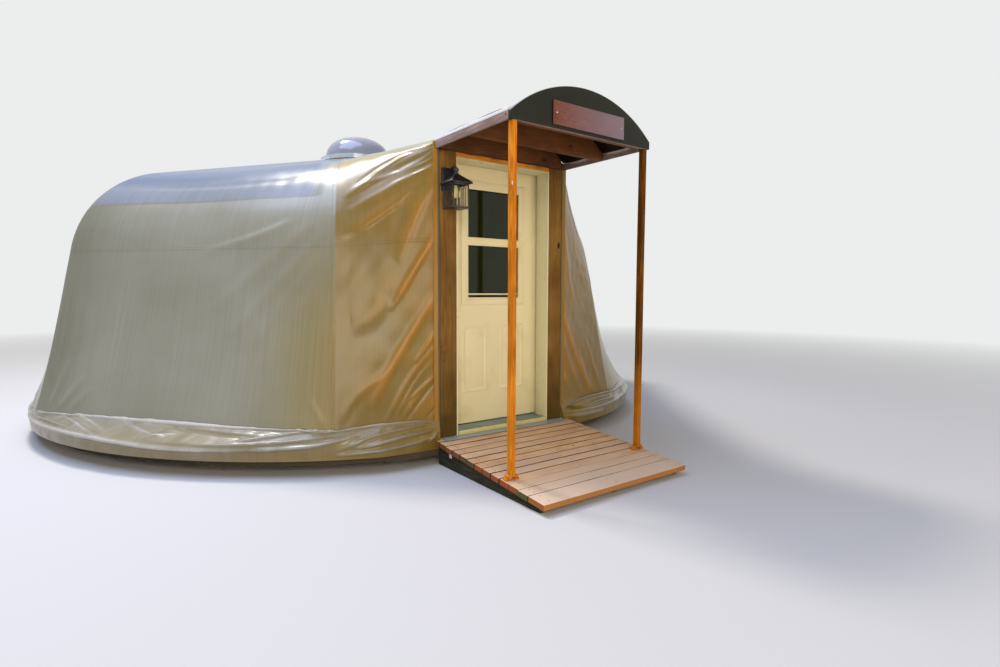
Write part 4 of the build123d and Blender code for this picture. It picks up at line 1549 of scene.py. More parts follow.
SKIRT_LEFT_FOLDS = pulled(
    (28, 11, 20, (3450, 66), (2900, 18), (2500, 14), (1930, 14), (1440, 14), (930, 18), (800, 26)),
    (25, 11, 18, (900, 62), (780, 56), (660, 40), (530, 18), (360, 16), (30, 14)),
    (28, 18, 16, (4000, 260), (3250, 235), (2600, 242), (2250, 252), (1880, 272), (1400, 268), (1120, 250)),
    (24, 16, 14, (1300, 268), (1120, 258), (870, 240), (720, 200), (580, 150)),
    (16, 10, 12, (1700, 232), (1400, 228), (1060, 205), (760, 130), (620, 90)),
    (16, 16, 18, (1440, 215), (1210, 135), (940, 30)),
    (-18, 20, 24, (2050, 40), (1620, 85), (1270, 130)),
    (22, 16, 13, (740, 285), (600, 236), (470, 165), (300, 125), (30, 70)),
    (24, 16, 13, (620, 275), (510, 258), (310, 222), (30, 190)),
    (24, 16, 14, (740, 325), (600, 310), (320, 295), (30, 258)),
    (15, 13, 13, (3080, 35), (2860, 110), (2640, 190), (2400, 235)),
    (13, 12, 12, (2930, 10), (2700, 80), (2450, 165)),
    (15, 11, 13, (2470, 12), (2280, 80), (2110, 145), (1930, 175)),
    (11, 10, 10, (2100, 200), (2000, 165), (1880, 120)),
    (15, 14, 14, (3400, 160), (3100, 170), (2750, 200)),
    (15, 10, 10, (1020, 10), (900, 50), (840, 10)),
    (14, 8, 8, (950, 4), (870, 28), (800, 55)),
    (14, 8, 8, (740, 4), (820, 28), (900, 52)),
    (18, 14, 12, (100, 300), (60, 260), (20, 200)),
)
SKIRT_RIGHT_FOLDS = pulled(
    (29, 15, 24, (20, 125), (140, 85), (260, 40), (600, 16), (950, 16), (1400, 22)),
    (25, 19, 24, (600, 12), (950, 55), (1360, 100), (2000, 140)),
    (29, 24, 24, (20, 220), (240, 232), (440, 238), (800, 225), (1200, 230), (1900, 235)),
    (18, 19, 19, (20, 270), (200, 280), (360, 286), (600, 290)),
    (21, 27, 24, (300, 170), (550, 130), (800, 150), (1000, 190)),
    (-18, 22, 22, (50, 100), (120, 160), (300, 190)),
    (21, 30, 24, (750, 60), (800, 160), (900, 270)),
    (18, 30, 24, (1200, 50), (1220, 150), (1100, 280)),
)


@dataclass(frozen=True)
class SkirtShape:
    """What differs between the two halves of the skirt.

    The profile is the share of the way out to the hem and of the drop, the shown folds reach as far as
    loose_from, painted warm light turns the cloth golden from warm_light_from to the door, and the hem has
    these radii at its headings.
    """

    profile: tuple[Pair, ...]
    shown: tuple[Fold, ...]
    loose_from: float
    warm_light_from: float
    warm_light: float
    hem_headings: tuple[float, ...]
    hem_radii: tuple[float, ...]


SKIRT_SHAPES = {
    Side.LEFT: SkirtShape(
        ((0.0, 0.0), (0.10, 0.0), (0.30, 0.06), (0.55, 0.17), (0.80, 0.28))
        + ((0.97, 0.38), (1.02, 0.50), (1.00, 0.64), (0.99, 0.80), (0.97, 1.0)),
        SKIRT_LEFT_FOLDS,
        3.5,
        0.78,
        0.36,
        (12, 20, 60, 90, 180),
        (3.02, 3.105, 3.112, 3.12, 3.115),
    ),
    Side.RIGHT: SkirtShape(
        ((0.0, 0.0), (0.15, 0.06), (0.35, 0.17), (0.60, 0.30), (0.85, 0.42))
        + ((1.00, 0.54), (1.03, 0.66), (1.00, 0.78), (0.96, 0.88), (0.90, 1.0)),
        SKIRT_RIGHT_FOLDS,
        2.6,
        0.84,
        0.42,
        (12, 18, 24, 34, 44, 56, 70, 90, 180),
        (3.02, 3.08, 3.12, 3.15, 3.16, 3.14, 3.12, 3.12, 3.115),
    ),
}


@dataclass(frozen=True)
class Skirt:
    """The foot of the cover: cloth drawn over the platform's edge in loose rolls and tucked under it."""

    side: Side
    door_columns: int = 64
    bay_columns: int = 150
    rows: int = 56
    depth: float = 0.36
    cut_depth: float = 0.31
    cut_length: float = 9.6
    hem_z: float = 0.113
    front_run: float = 2.962
    tuck: float = 0.02

    @property
    def name(self) -> str:
        """The CAD node that it stands for."""
        return f"skirt_{self.side.name.lower()}"

    @property
    def shape(self) -> SkirtShape:
        """What this half has of its own."""
        return SKIRT_SHAPES[self.side]

    def crease(self, door_foot: Array) -> Array:
        """The line where the skirt leaves the wall, from the door to the back, on the left.

        Args:
            door_foot: Foot of the door bay's half, from the rib to the post.

        Returns:
            The line's points.
        """
        share = np.linspace(0, 1, self.door_columns + 1)
        known = np.linspace(0, 1, len(door_foot))
        feet = [np.stack([np.interp(share, known, door_foot[::-1, axis]) for axis in range(3)], axis=1)]
        across = np.linspace(0, 1, self.bay_columns + 1)
        for number in (1, 2, 3):
            bay = BaySheet("foot", number * self.side.value)
            line = bay.place(across if self.side is Side.RIGHT else across[::-1], np.zeros_like(across))
            feet.append((line if self.side is Side.LEFT else mirrored(line))[1:])
        return np.concatenate(feet)

    def hem(self, turn: Array, run: Array) -> Array:
        """Radius of the hem at each heading from the door, cut straight in front of the doorway."""
        radius = np.interp(np.abs(np.degrees(turn)), self.shape.hem_headings, self.shape.hem_radii)
        straight = self.front_run / np.maximum(np.cos(turn), 0.2)
        return np.minimum(radius, straight) + 0.004 * np.sin(run * 2.1 + 1)

    def base(self, door_foot: Array) -> tuple[Array, Array, Array]:
        """The skirt without its rolls.

        Args:
            door_foot: Foot of the door bay's half, from the rib to the post.

        Returns:
            Places row by row from the crease to the hem, metres from the door, and metres down.
        """
        line = self.crease(door_foot)
        turn = np.arctan2(line[:, 0], -line[:, 1])
        run = np.concatenate([[0], np.cumsum(np.linalg.norm(np.diff(line, axis=0), axis=1))])
        profile = rounded(np.array(self.shape.profile), 3)
        spans = np.hypot(np.diff(profile[:, 0]), np.diff(profile[:, 1]))
        length = np.concatenate([[0], np.cumsum(spans)]) / spans.sum()
        down = np.linspace(0, 1, self.rows + 1) ** 1.25
        out, drop = (np.interp(down, length, profile[:, axis])[:, None] for axis in (0, 1))
        top = np.hypot(line[:, 0], line[:, 1])
        radius = top + (self.hem(turn, run) - top) * out
        height = line[:, 2] - (line[:, 2] - self.hem_z) * drop
        skin = stacked(radius * np.sin(turn), -radius * np.cos(turn), height)
        return (skin, *np.meshgrid(run, down * self.depth))

    def folds(self, length: float) -> tuple[Fold, ...]:
        """The rolls that the photograph shows, and loose ones of the same kind round the rest.

        Args:
            length: How far the skirt reaches from the door.

        Returns:
            All folds of this half.
        """
        random = np.random.default_rng(40 + self.side.value)
        start = self.shape.loose_from
        loose = []
        for level, height in ((0.012, 0.013), (0.205, 0.013), (0.155, 0.010), (0.29, 0.008)):
            at = start - 0.2
            while at < length:
                reach = random.uniform(0.9, 2.2)
                places = at + reach * np.linspace(0, 1, 5)
                path = tuple((place, level + random.uniform(-0.02, 0.03)) for place in places)
                loose.append(Fold(path, height * random.uniform(0.7, 1.2), 0.013, 0.018))
                at += reach * random.uniform(0.7, 0.9)
        for _ in range(34):
            at = random.uniform(start, length)
            high = (at, random.uniform(0.01, 0.06))
            low = (at + random.uniform(-0.3, 0.3), random.uniform(0.12, 0.26))
            loose.append(Fold((high, low), random.uniform(0.003, 0.007), 0.012, 0.015))
        return (*self.shape.shown, *loose)

    def surface(self, door_foot: Array) -> tuple[Array, Array]:
        """The rolled cloth, row by row from the crease to the hem, and how far each place is lifted.

        Args:
            door_foot: Foot of the door bay's half, from the rib to the post.

        Returns:
            The points, and the lift at each.
        """
        skin, run, down = self.base(door_foot)
        total = waves(run, down, 0.0022, 0.30, 8) + waves(run, down, 0.0012, 0.09, 9)
        for fold in self.folds(float(run.max())):
            total = total + fold.lift(run, down)
        by_hem = np.clip((self.depth - down) / self.tuck, 0.15, 1)
        total = total * part_way(down, 0, 0.008) * part_way(run, 0, 0.02) * by_hem
        return lift_along_normals(skin, total), total

    def build(self, door_foot: Array) -> Piece:
        """Makes the skirt of one side.

        Args:
            door_foot: Foot of the door bay's half, from the rib to the post.

        Returns:
            The finished skirt.
        """
        skin, lift = (grid[::-1] for grid in self.surface(door_foot))
        rows, columns = skin.shape[:2]
        near_door, up = np.meshgrid(np.linspace(1, 0, columns), np.linspace(0, 1, rows))
        # Darker towards the hem; painted warm light turns it golden towards the door.
        tone = 0.26 + 0.22 * (1 - up) + self.shape.warm_light * part_way(near_door, self.shape.warm_light_from, 1)
        # Painted highlight: lifted crests and rolls take paler tones; painted shade: hollows take darker
        # ones.
        tone = tone - 0.34 * np.clip(lift / 0.020, -0.4, 1)
        cut = stacked(-near_door * self.cut_length, up * self.depth - 0.4)
        grids = [skin[:, ::-1], cut[:, ::-1], tone[:, ::-1]]
        if self.side is Side.RIGHT:
            grids = [mirrored(skin), cut, tone]
        obj = sheet_grid(f"{self.name}_cloth", *grids, np.ones_like(up))
        size = (self.cut_length, self.cut_depth)
        return hang(obj, (self.name,), size, finish=SKIRT_CLOTH)


def relief(across: list[float], up: list[float], depth: Callable[[float, float], float]) -> Piece:
    """An upright face that looks at -Y, with its grid lines where the relief changes.

    Args:
        across: X of each line.
        up: Z of each line.
        depth: Gives Y at each crossing.

    Returns:
        The face.
    """
    obj, rows, columns = flat_grid(len(up), len(across))
    places = [(across[i], depth(across[i], up[j]), up[j]) for i, j in zip(columns, rows)]
    write_points(obj, np.array(places))
    return obj


@dataclass(frozen=True)
class RaisedPanel:
    """One of the embossed panels pressed in the door's skin."""

    low: Pair
    high: Pair
    face_y: float
    steps: tuple[float, ...] = (0.0, 0.005, 0.012, 0.019, 0.026, 0.042, 0.054)
    heights: tuple[float, ...] = (0.0, 0.0035, 0.0045, 0.0028, 0.0005, 0.0006, 0.0030)

    def build(self) -> Piece:
        """The panel's face, a hair in front of the skin.

        Returns:
            The face, still to be finished.
        """
        steps = self.steps
        across, up = (
            [low + step for step in steps] + [high - step for step in reversed(steps)]
            for low, high in zip(self.low, self.high)
        )

        def depth(x: float, z: float) -> float:
            """Y of the embossed skin at a place."""
            inside = min(x - self.low[0], self.high[0] - x, z - self.low[1], self.high[1] - z)
            return self.face_y - 0.0003 - float(np.interp(inside, steps, self.heights))

        return relief(across, up, depth)


@dataclass(frozen=True)
class DoorLeaf:
    """The steel door: two embossed panels below a framed window of two panes, knob and deadbolt."""

    face_y: float = -2.775
    panel_in: float = 0.063
    panel_out: float = 0.303
    panel_low: float = 0.467
    panel_high: float = 1.003
    bead: float = 0.010
    bar_low: float = 1.640
    bar_high: float = 1.683
    knob_x: float = -0.397

    def panels(self) -> None:
        """The two embossed panels."""
        pair = []
        for side in Side:
            low_x, high_x = sorted((side.value * self.panel_in, side.value * self.panel_out))
            pair.append(RaisedPanel((low_x, self.panel_low), (high_x, self.panel_high), self.face_y).build())
        finish_piece(join(pair), "door_panels", CREAM_PAINT, DOOR, smooth_deg=50)

    def window(self) -> None:
        """The insert's frame with a rounded rim, and beads round both panes."""
        dress_copy("door_window_frame", CREAM_PAINT, 0.004, DOOR)
        face = boxed("door_window_frame")[0].y
        low, high = boxed("door_glass")
        left, right = low.x + self.bead, high.x - self.bead
        front, back = face - 0.003, face + 0.010
        bars = []
        for bottom, top in ((low.z, self.bar_low), (self.bar_high, high.z)):
            for x in (low.x, right):
                bars.append(block((x, front, bottom), (x + self.bead, back, top), 0.002))
            for z in (bottom, top - self.bead):
                bars.append(block((left, front, z), (right, back, z + self.bead), 0.002))
        bars.append(block((left, face + 0.012, low.z + 0.03), (right, face + 0.024, low.z + 0.042), 0.002))
        finish_piece(join(bars), "window_beads", CREAM_PAINT, DOOR)
        dress_node("door_glass", WINDOW_GLASS)

    def lockset(self) -> None:
        """Knobs and deadbolt on both faces, turned in brass."""
        knob = [(0.033, 0.0), (0.034, 0.003), (0.030, 0.008), (0.015, 0.012), (0.011, 0.020), (0.012, 0.030)]
        knob += [(0.022, 0.036), (0.027, 0.046), (0.027, 0.056), (0.021, 0.065), (0.009, 0.069)]
        bolt = [(0.031, 0.0), (0.032, 0.004), (0.028, 0.010), (0.017, 0.013), (0.0165, 0.02), (0.014, 0.022)]
        low, high = boxed("door_lockset")
        turns = []
        for profile, height in ((knob, low.z + 0.033), (bolt, high.z - 0.033)):
            for y, way in ((self.face_y, -1), (-2.731, 1)):
                turns.append(turned(profile))
                point_along(turns[-1], (0, way, 0), (self.knob_x, y, height))
        obj = finish_piece(join(turns), "lockset_turned", BRASS, DOOR)
        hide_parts("door_lockset")

    def build(self) -> None:
        """Dresses the slab and adds what is on it."""
        dress_copy("door_slab", CREAM_PAINT, 0.002, DOOR)
        self.panels()
        self.window()
        self.lockset()


@dataclass(frozen=True)
class Doorway:
    """Heavy timbers beside the door, the liner between them, the sill and its flashing."""

    liner_joint_y: float = -2.792
    sill_half: float = 0.436

    def posts(self) -> None:
        """Two rough timbers with weathered, eased edges."""
        for index, side in enumerate(Side):
            node = f"door_post_{side.name.lower()}"
            low, high = boxed(node)
            obj = block(low, high)
            subdivide(obj, 20)
            ease_edges(obj, 0.006, 3)
            warp(obj, 0.0015, 0.35, 60 + index)
            mark(obj, "board", 0.37 * index)
            finish_piece(obj, f"{node}_dressed", POST_TIMBER)
            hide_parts(node)

    def trims(self) -> None:
        """Head board, liner with its upright joint, and frame."""
        dress_copy("head_plank", HEAD_STRIP, 0.003)
        dress_copy("door_liner", LINER_PAINT, 0.0015)
        dress_copy("door_frame", LINER_PAINT, 0.002)
        low, high = boxed("door_liner")
        inner = high.x - 0.010
        front, back = self.liner_joint_y, self.liner_joint_y + 0.002
        joints = []
        for x in (inner - 0.0004, -inner - 0.0006):
            joints.append(block((x, front, low.z), (x + 0.001, back, high.z - 0.01)))
        joints.append(block((-inner, front, high.z - 0.0106), (inner, back, high.z - 0.0096)))
        nail = turned([(0.0022, 0.0), (0.0022, 0.0008)], 12)
        point_along(nail, (-1, 0, 0), (inner, -2.79, 2.21))
        finish_piece(join(joints + [nail]), "liner_joints", DARK_GASKET)

    def sill(self) -> None:
        """Ribbed aluminium sill with a yellowed nose, over a bent flashing."""
        dress_copy("door_sill", SILL_METAL, 0.002)
        low, high = boxed("door_sill")
        ribs = []
        for index in range(7):
            y = low.y + 0.030 + 0.017 * index
            ends = ((-self.sill_half, y, high.z - 0.0005), (self.sill_half, y + 0.005, high.z + 0.0014))
            ribs.append(block(*ends, 0.0006))
        finish_piece(join(ribs), "sill_ribs", SILL_METAL)
        half = self.sill_half + 0.001
        nose = block((-half, low.y - 0.004, low.z + 0.004), (half, low.y + 0.012, high.z + 0.0015), 0.0025)
        finish_piece(nose, "sill_nose", SILL_NOSE)
        dress_node("sill_flashing", FLASHING)

    def build(self) -> None:
        """Makes the whole doorway."""
        self.posts()
        self.trims()
        self.sill()


@dataclass(frozen=True)
class EdgeTrim:
    """The cover's edges at the door: a smooth hem held by a grey batten beside each post."""

    front_y: float = -2.927
    left_low_z: float = 0.205
    right_low_z: float = 0.128
    high_z: float = 2.338
    hem_x: Pair = (0.6045, 0.638)
    # Painted light: the left hem is given the lighter tone.
    hem_tones: Pair = (1.0, 0.0)
    batten_x: Pair = (0.5905, 0.6035)

    def build(self) -> None:
        """One hem band and one batten on each side."""
        hems = []
        battens = []
        for side in Side:
            low_z = self.left_low_z if side is Side.LEFT else self.right_low_z
            inner, outer = sorted(side.value * x for x in self.hem_x)
            hem = block((inner, self.front_y - 0.0025, low_z), (outer, self.front_y + 0.003, self.high_z))
            subdivide(hem, 30)
            warp(hem, 0.0012, 0.12, 70 + side.value)
            hems.append(hem)
            inner, outer = sorted(side.value * x for x in self.batten_x)
            ends = ((inner, self.front_y - 0.006, low_z), (outer, self.front_y + 0.012, self.high_z))
            battens.append(block(*ends, 0.002))
        for hem, tone in zip(hems, self.hem_tones):
            lay_out(hem, tone)
        finish_piece(join(hems), "cover_hems", HEM_CLOTH)
        finish_piece(join(battens), "edge_battens", BATTEN)


@dataclass(frozen=True)
class Awning:
    """The arched awning: boards under a taut cloth, a painted gable and a bare plaque."""

    radius: float = 0.9209
    half_width: float = 0.610
    columns: int = 72
    rows: int = 60
    sag: float = 0.020
    middle_board: float = 0.55

    def cloth(self) -> None:
        """Cloth over the boards, sagging between them, with its edges drawn down over the sides."""
        low, high = boxed("awning_roof")
        centre = high.z - self.radius
        lean = math.asin(self.half_width / self.radius)
        across, up = np.meshgrid(np.linspace(0, 1, self.columns + 1), np.linspace(0, 1, self.rows + 1))
        turn = (2 * across - 1) * lean
        middle = self.middle_board
        between = np.where(up < middle, up / middle, (up - middle) / (1 - middle))
        calm = np.sin(math.pi * np.clip(between, 0, 1)) ** 1.2
        dip = self.sag * (0.6 + 0.4 * np.cos(2 * turn)) + waves(across, up, 0.0016, 0.35, 31)
        reach = self.radius - dip * calm
        y = low.y + up * (high.y - low.y)
        points = stacked(reach * np.sin(turn), y, centre + reach * np.cos(turn))
        cut = stacked(turn * self.radius, 6 + y)
        # Tone 0.05 gives the awning's cloth the roof's painted bluish sky reflection.
        obj = sheet_grid("awning_cloth", points, cut, np.full_like(up, 0.05), np.ones_like(up))
        size = (2 * lean * self.radius, high.y - low.y)
        hang(obj, ("awning_roof",), size, thickness=0.003, finish=DARK_UNDERSIDE_CLOTH)

    def side_edges(self) -> None:
        """The pale edge of the cloth above the side bands; its near-white is partly a painted highlight along
        the top.
        """
        low, high = boxed("awning_fascias")
        edges = []
        for side in Side:
            inner, outer = sorted((side.value * 0.606, side.value * 0.6235))
            ends = ((inner, low.y + 0.002, high.z - 0.006), (outer, high.y - 0.002, high.z + 0.014))
            edge = block(*ends, 0.003)
            warp(edge, 0.0012, 0.3, 80)
            edges.append(edge)
        finish_piece(join(edges), "awning_cloth_edges", PALE_EDGE_PAINTED_HIGHLIGHT)

    def gable(self) -> None:
        """The painted gable with a thin metal edging on its arch, and a pale lower edge."""
        dress_copy("awning_gable", GABLE_PAINT, 0.002)
        low, high = boxed("awning_gable")
        lean = math.asin(0.622 / self.radius)
        centre, reach = high.z - self.radius, self.radius + 0.0005
        turns = np.linspace(-lean, lean, 25)
        rim = [(reach * math.sin(turn), low.y + 0.004, centre + reach * math.cos(turn)) for turn in turns]
        finish_piece(tube(rim, 0.003, "gable_edging"), "gable_edging", GABLE_EDGE)
        strip = block((-0.6, low.y + 0.001, low.z - 0.002), (0.6, high.y - 0.001, low.z + 0.004), 0.001)
        mark(strip, "board", 0.6)
        finish_piece(strip, "gable_lower_edge", FASCIA_TIMBER)

    def plaque(self) -> None:
        """A bare walnut plaque on two screws."""
        obj = dress_copy("sign_plaque", PLAQUE_TIMBER, 0.0015)
        low, high = boxed("sign_plaque")
        mark(obj, "fade", 0.85 * part_way(read_points(obj)[:, 0], low.x, high.x))
        screws = []
        for x in (low.x + 0.03, high.x - 0.028):
            screw = turned([(0.0065, 0.0), (0.0065, 0.0012), (0.004, 0.0028)], 16)
            point_along(screw, (0, -1, 0), (x, low.y, (low.z + high.z) / 2))
            screws.append(screw)
        finish_piece(join(screws), "plaque_screws", SCREW_STEEL)

    def bead(self) -> None:
        """A wavy dark bead where the back board meets the head board, and one dark side screw."""
        low, high = boxed("head_plank")
        random = np.random.default_rng(12)
        line = [
            (x, low.y - 0.004, high.z + 0.004 + 0.006 * math.sin(x * 23) + random.uniform(-0.002, 0.002))
            for x in np.linspace(-0.56, 0.56, 60)
        ]
        wire = tube(line, 0.003, "dark_head_bead")
        screw = turned([(0.005, 0.0), (0.005, 0.002)], 14)
        point_along(screw, (-1, 0, 0), (-0.622, -3.77, 2.318))
        finish_piece(join([wire, screw]), "dark_head_bead", DARK_GASKET)

    def build(self) -> None:
        """Makes the whole awning."""
        dress_copy("awning_boards", AWNING_TIMBER, 0.003)
        dress_copy("awning_fascias", FASCIA_TIMBER, 0.003)
        self.cloth()
        self.side_edges()
        self.gable()
        self.plaque()
        self.bead()


@dataclass(frozen=True)
class Deck:
    """Treated boards that slope away from the door on dark stringers."""

    half_width: float = 0.650
    back: Pair = (-2.9700, 0.179)
    front: Pair = (-4.1780, 0.072)
    thickness: float = 0.038
    widths: tuple[float, ...] = (0.032,) + (0.085,) * 8 + (0.093,) * 3 + (0.142,)
    gaps: tuple[float, ...] = (0.007,) * 9 + (0.0015,) * 3
    screw_x: Triple = (-0.585, -0.02, 0.585)
    post_half: float = 0.019

    @property
    def slope(self) -> float:
        """Angle of the deck below level."""
        return math.atan2(self.back[1] - self.front[1], self.back[0] - self.front[0])

    def on_deck(self, x: float, run: float, rise: float = 0.0) -> Triple:
        """A place on the deck's top, run metres down from its back edge."""
        y = self.back[0] - run * math.cos(self.slope) - rise * math.sin(self.slope)
        return (x, y, self.back[1] - run * math.sin(self.slope) + rise * math.cos(self.slope))

    def boards(self) -> None:
        """The boards, each with its own tone, and their screws."""
        random = np.random.default_rng(21)
        length = math.hypot(self.back[0] - self.front[0], self.back[1] - self.front[1])
        gaps = np.array([*self.gaps, 0.0]) * (length - sum(self.widths)) / sum(self.gaps)
        turn = Matrix.Translation((0, self.back[0], self.back[1])) @ Matrix.Rotation(self.slope, 4, "X")
        planks = []
        screws = []
        run = 0.0
        for index, width in enumerate(self.widths):
            left = -self.half_width + random.uniform(0, 0.005)
            right = self.half_width - random.uniform(0, 0.005)
            plank = block((left, -run - width, -self.thickness), (right, -run, -random.uniform(0, 0.0015)))
            subdivide(plank, 9)
            ease_edges(plank, 0.0035 if width < 0.13 else 0.005)
            warp(plank, 0.0009, 0.4, 90 + index)
            plank.data.transform(turn)
            mark(plank, "board", 0.83 * index + random.uniform(0, 0.3))
            mark(plank, "fade", np.clip((index - 6) / 6, 0, 1) * 0.7 + random.uniform(0, 0.3))
            planks.append(plank)
            for x in self.screw_x if width > 0.05 else ():
                for share in (0.25, 0.75):
                    screw = turned([(0.0038, 0.0), (0.0038, 0.0007)], 10)
                    spot = self.on_deck(x + random.uniform(-0.006, 0.006), run + share * width, -0.0006)
                    point_along(screw, (0, -math.sin(self.slope), math.cos(self.slope)), spot)
                    screws.append(screw)
            run += width + gaps[index]
        front = finish_piece(planks.pop(), "deck_front_plank", FRONT_BOARD)
        obj = finish_piece(join(planks), "deck_planks", DECK_TIMBER)
        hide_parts("deck_boards")
        finish_piece(join(screws), "deck_screws", DARK_GASKET)

    def stringers(self) -> None:
        """Dark stringers, with a white patch on the left one."""
        dress_copy("deck_stringers", JOIST_TIMBER, 0.002)
        low, _ = boxed("deck_stringers")
        patch = block((low.x - 0.0008, -3.15, 0.085), (low.x + 0.001, -3.115, 0.118), 0.0003)
        finish_piece(patch, "stringer_patch", WHITE_TAPE)

    def foot_wing(self, way: int) -> Piece:
        """One chamfered half of a post's foot block, towards -X or +X, on the deck's slope.

        Args:
            way: -1 or 1.

        Returns:
            The half, still to be moved to its post.
        """
        wing = block((0, -0.0165, 0), (0.036, 0.0165, 0.034))
        points = read_points(wing)
        slant = (points[:, 0] > 0.03) & (points[:, 2] > 0.03)
        points[slant, 0] -= 0.020
        points[:, 0] = way * (points[:, 0] + self.post_half - 0.001)
        write_points(wing, points)
        if way < 0:
            wing.data.flip_normals()
        ease_edges(wing, 0.002)
        wing.data.transform(Matrix.Rotation(self.slope, 4, "X"))
        return wing

    def posts(self) -> None:
        """Two stained posts on chamfered foot blocks."""
        for index, side in enumerate(Side):
            node = f"porch_post_{side.name.lower()}"
            low, high = boxed(node)
            half = self.post_half
            x, y = (low.x + high.x) / 2, (low.y + high.y) / 2
            shaft = block((x - half, y - half, low.z + 0.02), (x + half, y + half, high.z))
            subdivide(shaft, 24)
            ease_edges(shaft, 0.003)
            warp(shaft, 0.0012, 0.5, 110 + index)
            wings = [self.foot_wing(way) for way in (-1, 1)]
            for wing in wings:
                wing.data.transform(Matrix.Translation((x, y, low.z + 0.0015)))
            obj = join([shaft, *wings])
            mark(obj, "board", 0.55 * index + 0.2)
            # The right post takes the stain's copy with painted shade.
            finish_piece(obj, f"{node}_dressed", STAINED_POST if side is Side.LEFT else SHADED_STAINED_POST)
            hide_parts(node)
        patch = block((-0.6052, -3.8128, 1.905), (-0.5985, -3.8105, 1.925), 0.0003)
        finish_piece(patch, "post_patch", WHITE_TAPE)

    def build(self) -> None:
        """Makes the deck and its posts."""
        self.boards()
        self.stringers()
        self.posts()


@dataclass(frozen=True)
class Lantern:
    """The black wall lantern on the left timber: hipped roof, barred cage and a frosted bulb."""

    x: float = -0.5175
    y: float = -3.045
    base_z: float = 1.856
    cage_top: float = 2.030
    half: float = 0.066
    eave: float = 0.087
    apex_z: float = 2.094
    bar: float = 0.0035

    def roof(self) -> Piece:
        """A hipped roof from a square that is extruded up and drawn in.

        Returns:
            The roof, in its place.
        """
        deselect_all()
        bpy.ops.mesh.primitive_cube_add(size=1, location=(0, 0, 0.004))
        obj = bpy.context.object
        obj.scale = (2 * self.eave, 2 * self.eave, 0.008)
        bpy.ops.object.transform_apply()
        bpy.ops.object.mode_set(mode="EDIT")
        bpy.ops.mesh.select_mode(type="FACE")
        bpy.ops.mesh.select_all(action="DESELECT")
        bpy.ops.object.mode_set(mode="OBJECT")
        for face in obj.data.polygons:
            face.select = face.normal.z > 0.9
        bpy.ops.object.mode_set(mode="EDIT")
        for rise, shrink in ((0.012, 0.86), (0.046, 0.22), (0.006, 0.8)):
            bpy.ops.mesh.extrude_region_move(TRANSFORM_OT_translate={"value": (0, 0, rise)})
            bpy.ops.transform.resize(value=(shrink, shrink, 1))
        bpy.ops.object.mode_set(mode="OBJECT")
        ease_edges(obj, 0.0015)
        obj.data.transform(Matrix.Translation((self.x, self.y, self.cage_top)))
        return obj

    def spun(self, quarter: int) -> Matrix:
        """Puts what was made for the side that faces -Y, about the Z axis, on one side of the lantern."""
        return Matrix.Translation((self.x, self.y, 0)) @ Matrix.Rotation(quarter * math.pi / 2, 4, "Z")

    def side_bars(self) -> list[Piece]:
        """One side's top rail, two thin bars and three pointed arches.

        Returns:
            The bars, for the side that faces -Y, about the Z axis.
        """
        half, top, third = self.half, self.cage_top, 2 * self.half / 3
        bars = [block((-half, -half, top - 0.010), (half, -half + 0.006, top), 0.001)]
        for x in (-half / 3, half / 3):
            ends = ((x - 0.0018, -half + 0.001, self.base_z), (x + 0.0018, -half + 0.005, top - 0.05))
            bars.append(block(*ends))
        for start in (-half, -half / 3, half / 3):
            for foot in (start, start + third):
                reach = start + third / 2 - foot
                turn = np.linspace(0, math.pi / 2, 7)
                x = foot + reach * (1 - np.cos(turn))
                line = stacked(x, -half + 0.003, top - 0.052 + 0.042 * np.sin(turn))
                bars.append(tube(line.tolist(), 0.0018, "arch"))
        return bars

    def cage(self) -> list[Piece]:
        """Bottom rail, corner bars and the four sides.

        Returns:
            The bars and rails, in their places.
        """
        x, y, bar = self.x, self.y, self.bar
        out, corner = self.half + 0.004, self.half - self.bar
        base = ((x - out, y - out, self.base_z), (x + out, y + out, self.base_z + 0.012))
        pieces = [block(*base, 0.002)]
        for cx in (x - corner, x + corner):
            for cy in (y - corner, y + corner):
                ends = ((cx - bar, cy - bar, self.base_z), (cx + bar, cy + bar, self.cage_top))
                pieces.append(block(*ends, 0.001))
        for quarter in range(4):
            for piece in self.side_bars():
                piece.data.transform(self.spun(quarter))
                pieces.append(piece)
        return pieces

    def mount(self) -> list[Piece]:
        """Back plate on the timber, and the arm that carries the roof's collar.

        Returns:
            The plate, the arm and the collar.
        """
        wall = boxed("door_post_left")[0].y
        plate = block((self.x - 0.060, wall - 0.020, 1.99), (self.x + 0.048, wall, 2.155), 0.004)
        bends = [(wall - 0.015, 2.125), (wall - 0.05, 2.150), (self.y + 0.02, 2.158)]
        bends += [(self.y, 2.140), (self.y, 2.090)]
        arm = tube([(self.x, y, z) for y, z in bends], 0.009, "arm")
        rings = [(0.010, 0), (0.018, 0.006), (0.018, 0.014), (0.012, 0.022), (0.019, 0.036), (0.019, 0.046)]
        collar = turned([*rings, (0.008, 0.056)], 24)
        point_along(collar, (0, 0, 1), (self.x, self.y, self.apex_z - 0.006))
        return [plate, arm, collar]

    def bulb(self) -> None:
        """A frosted bulb on its holder."""
        rings = [(0.012, 0.0), (0.014, 0.02), (0.024, 0.045), (0.028, 0.062), (0.024, 0.080), (0.012, 0.091)]
        glass = turned(rings, 28)
        point_along(glass, (0, 0, -1), (self.x, self.y, 2.020))
        obj = finish_piece(glass, "lantern_bulb_glass", BULB_GLASS, smooth_deg=80)
        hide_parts("lantern_bulb")

    def panes(self) -> None:
        """Four thin panes inside the bars."""
        inner = self.half - 0.008
        panes = []
        for quarter in range(4):
            ends = ((-inner, -inner - 0.0015, self.base_z + 0.012), (inner, -inner, self.cage_top - 0.004))
            pane = block(*ends)
            pane.data.transform(self.spun(quarter))
            panes.append(pane)
        finish_piece(join(panes), "lantern_panes", LANTERN_GLASS)

